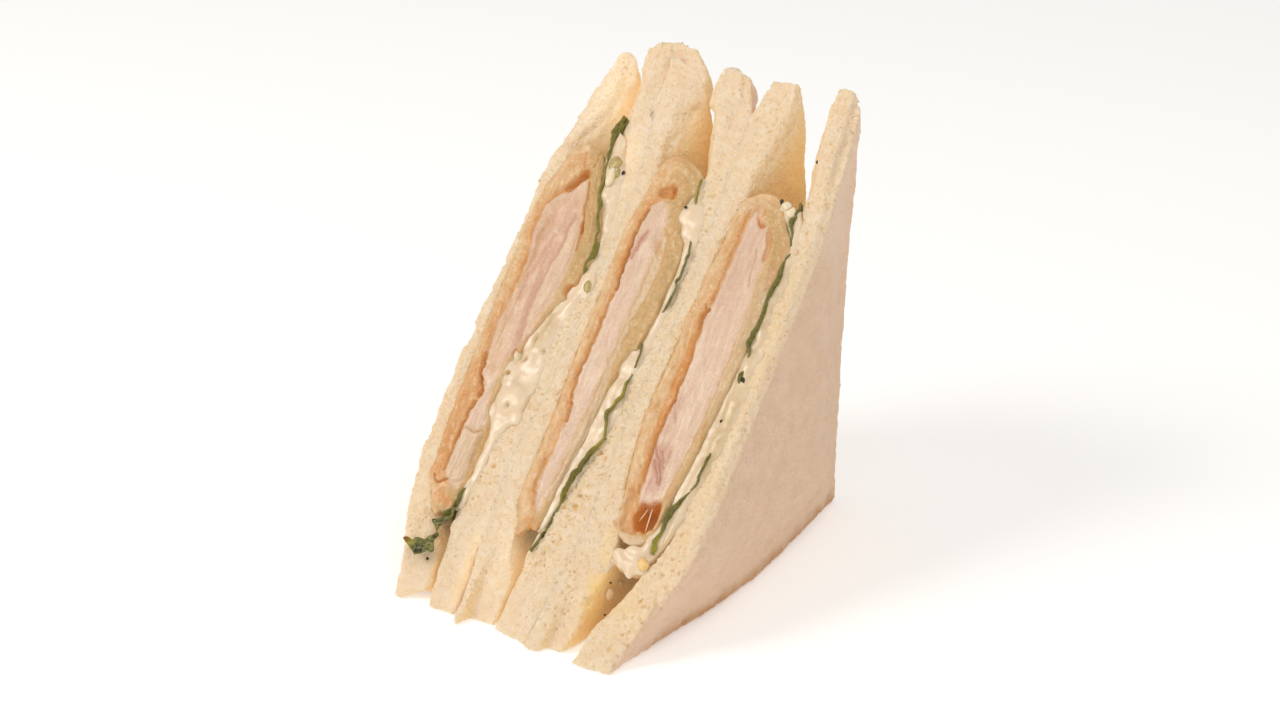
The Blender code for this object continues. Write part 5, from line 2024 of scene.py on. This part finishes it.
SAUCES = (
    Sauce(
        1, ("tartar_1",),
        (
            (-24.2, 0.18), (-23.2, 0.24), (-22.8, 0.30), (-25.4, 0.345), (-27.2, 0.40), (-25.8, 0.46),
            (-23.0, 0.51), (-19.0, 0.57), (-17.0, 0.63), (-17.2, 0.68), (-20.0, 0.73), (-23.6, 0.80),
            (-24.6, 0.85), (-21.6, 0.865), (-19.0, 0.83), (-15.6, 0.78), (-13.8, 0.70), (-12.9, 0.62),
            (-14.0, 0.56), (-15.6, 0.50), (-15.2, 0.42), (-17.6, 0.36), (-19.8, 0.30), (-20.6, 0.24),
            (-21.2, 0.19),
        ),
        (
            Blob(-20.0, 0.800, 0.1, (2.5, 6.2, 1.5), -10), Blob(-19.4, 0.765, 0.1, (1.6, 3.2, 1.2)),
            Blob(-21.5, 0.845, 0.4, (1.6, 3.0, 1.0)), Blob(-14.2, 0.602, 0.1, (2.3, 3.6, 0.8), -20),
            Blob(-13.2, 0.585, 0.2, (1.6, 2.6, 0.7)), Blob(-20.4, 0.378, 0.0, (4.2, 4.6, 2.0), -35),
            Blob(-22.8, 0.412, 0.1, (2.6, 4.0, 1.5)), Blob(-17.8, 0.352, 0.2, (2.2, 2.4, 1.1), -50),
            Blob(-20.6, 0.445, 0.2, (2.4, 4.2, 1.2)), Blob(-19.2, 0.50, 0.3, (1.4, 6.0, 0.8), 12),
            Blob(-21.0, 0.27, 0.4, (1.1, 8.0, 0.8)), Blob(-21.6, 0.205, 0.4, (0.9, 3.6, 0.7)),
            Blob(-24.6, 0.425, 0.1, (1.6, 2.6, 1.0)),
        ),
        (OpenCrumb(-19.4, 0.51, 1.8, 6.0, 0.9), OpenCrumb(-22.0, 0.404, 2.0, 1.2, 0.5)),
        (OpenCrumb(-22.0, 0.45, 0.8, 0.8, 1.6), OpenCrumb(-24.4, 0.42, 0.6, 0.6, 1.4),
         OpenCrumb(-21.4, 0.485, 0.4, 1.6, 1.2), OpenCrumb(-23.6, 0.455, 0.4, 1.4, 1.2),
         OpenCrumb(-20.4, 0.365, 0.5, 0.8, 1.0), OpenCrumb(-17.6, 0.47, 0.5, 0.7, 0.8)),
    ),
    Sauce(
        2, ("tartar_2",),
        (
            (-0.6, 0.19), (0.2, 0.25), (1.2, 0.31), (1.8, 0.38), (2.4, 0.45), (3.0, 0.52), (6.0, 0.55),
            (6.4, 0.62), (6.2, 0.68), (2.4, 0.73), (1.6, 0.78), (3.4, 0.815), (6.2, 0.81), (9.0, 0.75),
            (10.2, 0.68), (10.2, 0.60), (9.4, 0.53), (8.6, 0.45), (8.2, 0.40), (6.8, 0.33), (5.4, 0.28),
            (3.0, 0.24), (1.6, 0.19),
        ),
        (
            Blob(2.2, 0.80, 0.5, (1.5, 2.6, 0.9)), Blob(4.2, 0.755, 0.0, (2.2, 3.6, 1.1), 30),
            Blob(6.6, 0.735, 0.1, (2.4, 4.0, 1.0), 25), Blob(8.2, 0.70, 0.1, (1.5, 4.6, 0.9), 8),
            Blob(8.8, 0.655, 0.2, (1.0, 4.6, 0.8)), Blob(2.0, 0.505, 0.2, (1.2, 2.4, 0.8)),
            Blob(5.2, 0.48, 0.3, (2.0, 3.0, 0.9), 10), Blob(4.4, 0.43, 0.2, (1.5, 4.4, 0.9)),
            Blob(7.4, 0.405, 0.2, (1.7, 1.7, 0.9)), Blob(6.6, 0.38, 0.3, (1.3, 2.4, 0.8)),
            Blob(8.4, 0.56, 0.5, (0.9, 4.0, 0.6)),
        ),
        (OpenCrumb(5.0, 0.79, 2.0, 3.0, 0.8), OpenCrumb(6.6, 0.43, 1.6, 3.0, 0.4)),
    ),
    Sauce(
        3, ("tartar_3", "tartar_fold"),
        (
            (27.6, 0.215), (28.6, 0.28), (29.8, 0.34), (30.8, 0.42), (31.8, 0.50), (32.2, 0.60),
            (32.6, 0.68), (31.8, 0.74), (28.6, 0.785), (31.2, 0.80), (34.2, 0.765), (35.8, 0.70),
            (36.2, 0.62), (37.4, 0.55), (37.6, 0.46), (36.8, 0.38), (35.4, 0.31), (34.2, 0.25),
            (31.6, 0.20), (29.6, 0.185),
        ),
        (
            Blob(28.2, 0.798, -0.1, (1.7, 1.5, 1.3)), Blob(29.8, 0.787, 0.0, (1.5, 2.2, 1.2)),
            Blob(26.9, 0.79, 0.1, (1.1, 1.0, 1.0)), Blob(32.2, 0.637, 0.1, (1.3, 2.0, 0.8)),
            Blob(34.4, 0.40, 0.6, (1.5, 13.0, 0.9)), Blob(34.9, 0.48, 0.4, (1.0, 3.4, 0.8)),
            Blob(22.6, 0.186, 0.0, (1.5, 1.7, 1.3)), Blob(24.2, 0.176, 0.0, (1.9, 1.7, 1.3), 50),
            Blob(26.6, 0.168, 0.1, (2.4, 1.4, 1.2), 70), Blob(29.2, 0.174, 0.3, (1.9, 1.7, 1.2)),
            Blob(26.0, 0.195, 0.0, (2.4, 1.8, 1.3)), Blob(28.8, 0.212, 0.2, (1.4, 3.0, 1.1)),
            Blob(30.2, 0.235, 0.3, (1.1, 3.6, 0.9)), Blob(20.9, 0.165, 1.0, (0.9, 2.2, 1.6)),
            Blob(21.8, 0.13, 5.0, (0.7, 1.6, 2.4)), Blob(21.6, 0.155, 8.0, (0.7, 1.0, 1.8)),
        ),
        (OpenCrumb(34.6, 0.40, 2.2, 20.0, 0.95), OpenCrumb(34.8, 0.62, 1.2, 12.0, 0.6),
         OpenCrumb(32.0, 0.2, 1.4, 3.0, 0.6)),
    ),
)

LEAVES = (
    Leaf(
        1,
        (
            LeafPoint(-23.2, 0.165, 0.5, -0.5), LeafPoint(-22.6, 0.18, 0.6, -0.4),
            LeafPoint(-22.4, 0.20, 0.5), LeafPoint(-22.2, 0.215, 0.2), LeafPoint(-21.6, 0.24, -2.5),
            LeafPoint(-21.0, 0.32, -3.0), LeafPoint(-20.0, 0.40, -3.5), LeafPoint(-19.0, 0.50, -3.0),
            LeafPoint(-17.0, 0.58, -2.5), LeafPoint(-16.2, 0.61, -0.5), LeafPoint(-15.5, 0.63, 0.6, -0.3),
            LeafPoint(-15.0, 0.65, 0.8, -0.3), LeafPoint(-15.3, 0.67, 0.8, -0.3),
            LeafPoint(-16.0, 0.69, 0.8, -0.4), LeafPoint(-17.2, 0.71, 0.9, -0.5),
            LeafPoint(-18.6, 0.73, 0.8, -0.3), LeafPoint(-20.2, 0.75, 0.6, -0.2),
            LeafPoint(-21.1, 0.77, 0.4), LeafPoint(-21.9, 0.79, 0.2, 0.1),
            LeafPoint(-22.7, 0.81, 0.3, 0.1), LeafPoint(-23.2, 0.83, 0.2),
            LeafPoint(-23.5, 0.85, 0.5, -0.3), LeafPoint(-23.2, 0.87, 0.5, -0.6),
            LeafPoint(-22.9, 0.885, 0.4, -0.5), LeafPoint(-22.6, 0.90, 0.2, -0.4),
        ),
        (OpenCrumb(-20.5, 0.76, 6.0, 14.0, 0.3), OpenCrumb(-16.0, 0.66, 4.0, 7.0, 0.2)),
    ),
    Leaf(
        2,
        (
            LeafPoint(0.5, 0.15, 0.4, -0.3), LeafPoint(1.0, 0.17, 0.1, 0.0), LeafPoint(1.5, 0.19, -0.3),
            LeafPoint(1.8, 0.215, -0.3, 0.1), LeafPoint(2.2, 0.24, 0.1), LeafPoint(3.2, 0.26, 0.9, -0.6),
            LeafPoint(4.4, 0.28, 1.2, -1.2), LeafPoint(5.0, 0.30, 1.2, -1.3),
            LeafPoint(5.6, 0.32, 1.1, -1.0), LeafPoint(6.2, 0.34, 0.8, -0.5),
            LeafPoint(6.5, 0.36, 0.5, -0.2), LeafPoint(5.8, 0.38, 0.8, -0.5),
            LeafPoint(5.2, 0.395, 1.0, -0.8), LeafPoint(6.2, 0.41, 0.8, -0.6),
            LeafPoint(7.6, 0.43, 0.9, -1.0), LeafPoint(7.0, 0.45, 0.7, -0.6), LeafPoint(6.4, 0.47, 0.0),
            LeafPoint(6.2, 0.50, 0.3), LeafPoint(6.0, 0.515, 0.6, -0.5), LeafPoint(6.6, 0.53, -1.5),
            LeafPoint(7.3, 0.57, -0.5), LeafPoint(7.9, 0.60, 0.5), LeafPoint(8.0, 0.65, 0.5),
            LeafPoint(7.8, 0.68, 0.5), LeafPoint(6.8, 0.70, 0.2), LeafPoint(5.5, 0.72, -1.0),
            LeafPoint(5.0, 0.76, -0.5), LeafPoint(4.3, 0.78, 0.4, -0.6), LeafPoint(4.0, 0.80, 0.5, -0.6),
            LeafPoint(3.8, 0.815, 0.4, -0.4),
        ),
        (OpenCrumb(6.4, 0.355, 3.0, 3.5, 0.8), OpenCrumb(7.0, 0.43, 3.0, 4.0, 0.7),
         OpenCrumb(2.4, 0.245, 2.0, 2.5, 0.5), OpenCrumb(4.4, 0.79, 4.0, 7.0, 0.6)), shift=1.3,
    ),
    Leaf(
        3,
        (
            LeafPoint(31.2, 0.20, 0.3, -0.5), LeafPoint(31.6, 0.212, 0.6, -0.5),
            LeafPoint(31.5, 0.225, 0.5, -0.5), LeafPoint(31.2, 0.245, 0.4, -0.3),
            LeafPoint(32.2, 0.27, 0.7, -0.7), LeafPoint(32.9, 0.29, 0.6, -0.5),
            LeafPoint(33.6, 0.31, -0.3), LeafPoint(34.4, 0.34, 0.1), LeafPoint(34.8, 0.37, 0.1),
            LeafPoint(34.9, 0.40, -2.0), LeafPoint(34.9, 0.44, -2.0), LeafPoint(35.0, 0.49, -0.5),
            LeafPoint(34.9, 0.51, 0.6, -0.5), LeafPoint(34.3, 0.53, -0.8),
            LeafPoint(33.7, 0.56, 0.5, -0.2), LeafPoint(33.9, 0.58, 0.6, -0.3),
            LeafPoint(33.7, 0.61, 0.5, -0.2), LeafPoint(33.8, 0.64, 0.6, -0.2),
            LeafPoint(34.0, 0.67, 0.6, -0.3), LeafPoint(34.2, 0.70, 0.5, -0.2),
            LeafPoint(33.6, 0.73, -0.5), LeafPoint(32.6, 0.755, 0.2), LeafPoint(31.9, 0.77, 0.7, -0.3),
            LeafPoint(31.9, 0.79, 0.5, -0.3), LeafPoint(31.3, 0.81, 0.2),
        ),
        (OpenCrumb(31.4, 0.215, 1.5, 3.0, 1.0),),
    ),
)

LEAF_TIP = LeafTip(
    (
        (
            (-21.9, 0.187), (-21.7, 0.176), (-22.5, 0.164), (-23.3, 0.156), (-24.2, 0.148),
            (-25.0, 0.139), (-25.9, 0.146), (-26.8, 0.153), (-25.4, 0.160), (-23.8, 0.166),
            (-23.1, 0.174), (-22.7, 0.184),
        ),
        (
            (-24.3, 0.138), (-23.5, 0.132), (-23.3, 0.120), (-22.9, 0.108), (-23.1, 0.101),
            (-24.5, 0.103), (-25.9, 0.098), (-27.0, 0.090), (-28.4, 0.096), (-30.0, 0.103),
            (-31.6, 0.110), (-31.2, 0.116), (-29.6, 0.114), (-28.0, 0.120), (-26.3, 0.121),
            (-25.2, 0.129),
        ),
    )
)

PICKLE = Bits(
    "pickle_bits", "tartar",
    (
        Blob(-20.0, 0.812, -1.0, (1.7, 1.7, 0.7)), Blob(-18.5, 0.795, -0.9, (0.6, 1.5, 0.5)),

        Blob(-13.6, 0.594, -0.5, (0.9, 1.6, 0.4), -20),
    ),
    BitFinish("Pickle", paint(206, 190, 128), paint(170, 140, 74), 0.25, 0.4),
)
YOLK = Bits(
    "yolk_bits", "tartar", (Blob(29.7, 0.180, -0.5, (1.7, 1.3, 0.7), 35),),
    BitFinish("Egg yolk", paint(250, 216, 150), paint(244, 188, 112), 0.35, 0.4),
)
EGG = Bits(
    "egg_bits", "tartar",
    (
        Blob(-19.6, 0.787, -1.2, (1.1, 2.4, 0.7), -8), Blob(28.4, 0.800, -1.0, (1.3, 1.0, 0.8)),
        Blob(30.2, 0.790, -0.9, (1.0, 1.4, 0.7)), Blob(26.3, 0.252, 0.1, (0.14, 2.8, 0.14), -6),
        Blob(24.4, 0.256, 0.4, (0.1, 1.8, 0.1), 16),
    ),
    BitFinish("Egg white", paint(250, 236, 208), paint(240, 218, 180), 0.35, 0.5),
)
PEPPER = Bits(
    "pepper_specks", "tartar",
    (
        Blob(-17.2, 0.800, -0.4, (0.45, 0.5, 0.3)), Blob(-24.0, 0.092, -0.3, (0.4, 0.35, 0.3)),
        Blob(3.2, 0.762, -1.0, (0.4, 0.35, 0.3)), Blob(26.6, 0.806, -0.5, (0.45, 0.7, 0.4), -30),
        Blob(31.0, 0.888, 0.3, (0.6, 0.6, 0.4)), Blob(35.2, 0.458, -0.2, (0.7, 0.8, 0.4)),
        Blob(33.7, 0.432, 0.0, (0.3, 0.4, 0.25)), Blob(35.0, 0.505, -0.1, (0.6, 0.9, 0.35), -20),
        Blob(8.4, 0.523, 0.2, (0.35, 0.3, 0.25)), Blob(21.6, 0.145, 3.4, (0.2, 0.2, 0.4)),
        Blob(21.4, 0.10, 7.0, (0.2, 0.25, 0.4)),
    ),
    BitFinish("Black pepper", paint(70, 52, 36), paint(34, 26, 20), 0.6, 0.0),
    0.35,
)


def main() -> None:
    """Builds every piece, the floor, the lights and the camera."""
    logging.basicConfig(level=logging.INFO, format="%(message)s")
    build_mottling()
    build_fine_relief()
    crumb = CrumbFinish().build()
    for one in SLICES:
        slice_piece = one.build(crumb)
        Crumbs(one.number).build(slice_piece, crumb)
    chicken = ChickenFinish().build()
    for fillet in FILLETS:
        fillet.build(chicken)
    tartar = SauceFinish().build()
    for sauce in SAUCES:
        sauce.build(tartar)
    lettuce = LeafFinish().build()
    for leaf in LEAVES:
        leaf.build(lettuce)
    LEAF_TIP.build(lettuce)
    for bits in (PICKLE, YOLK, EGG, PEPPER):
        bits.build()
    Stage().build()


if __name__ == "__main__":
    main()
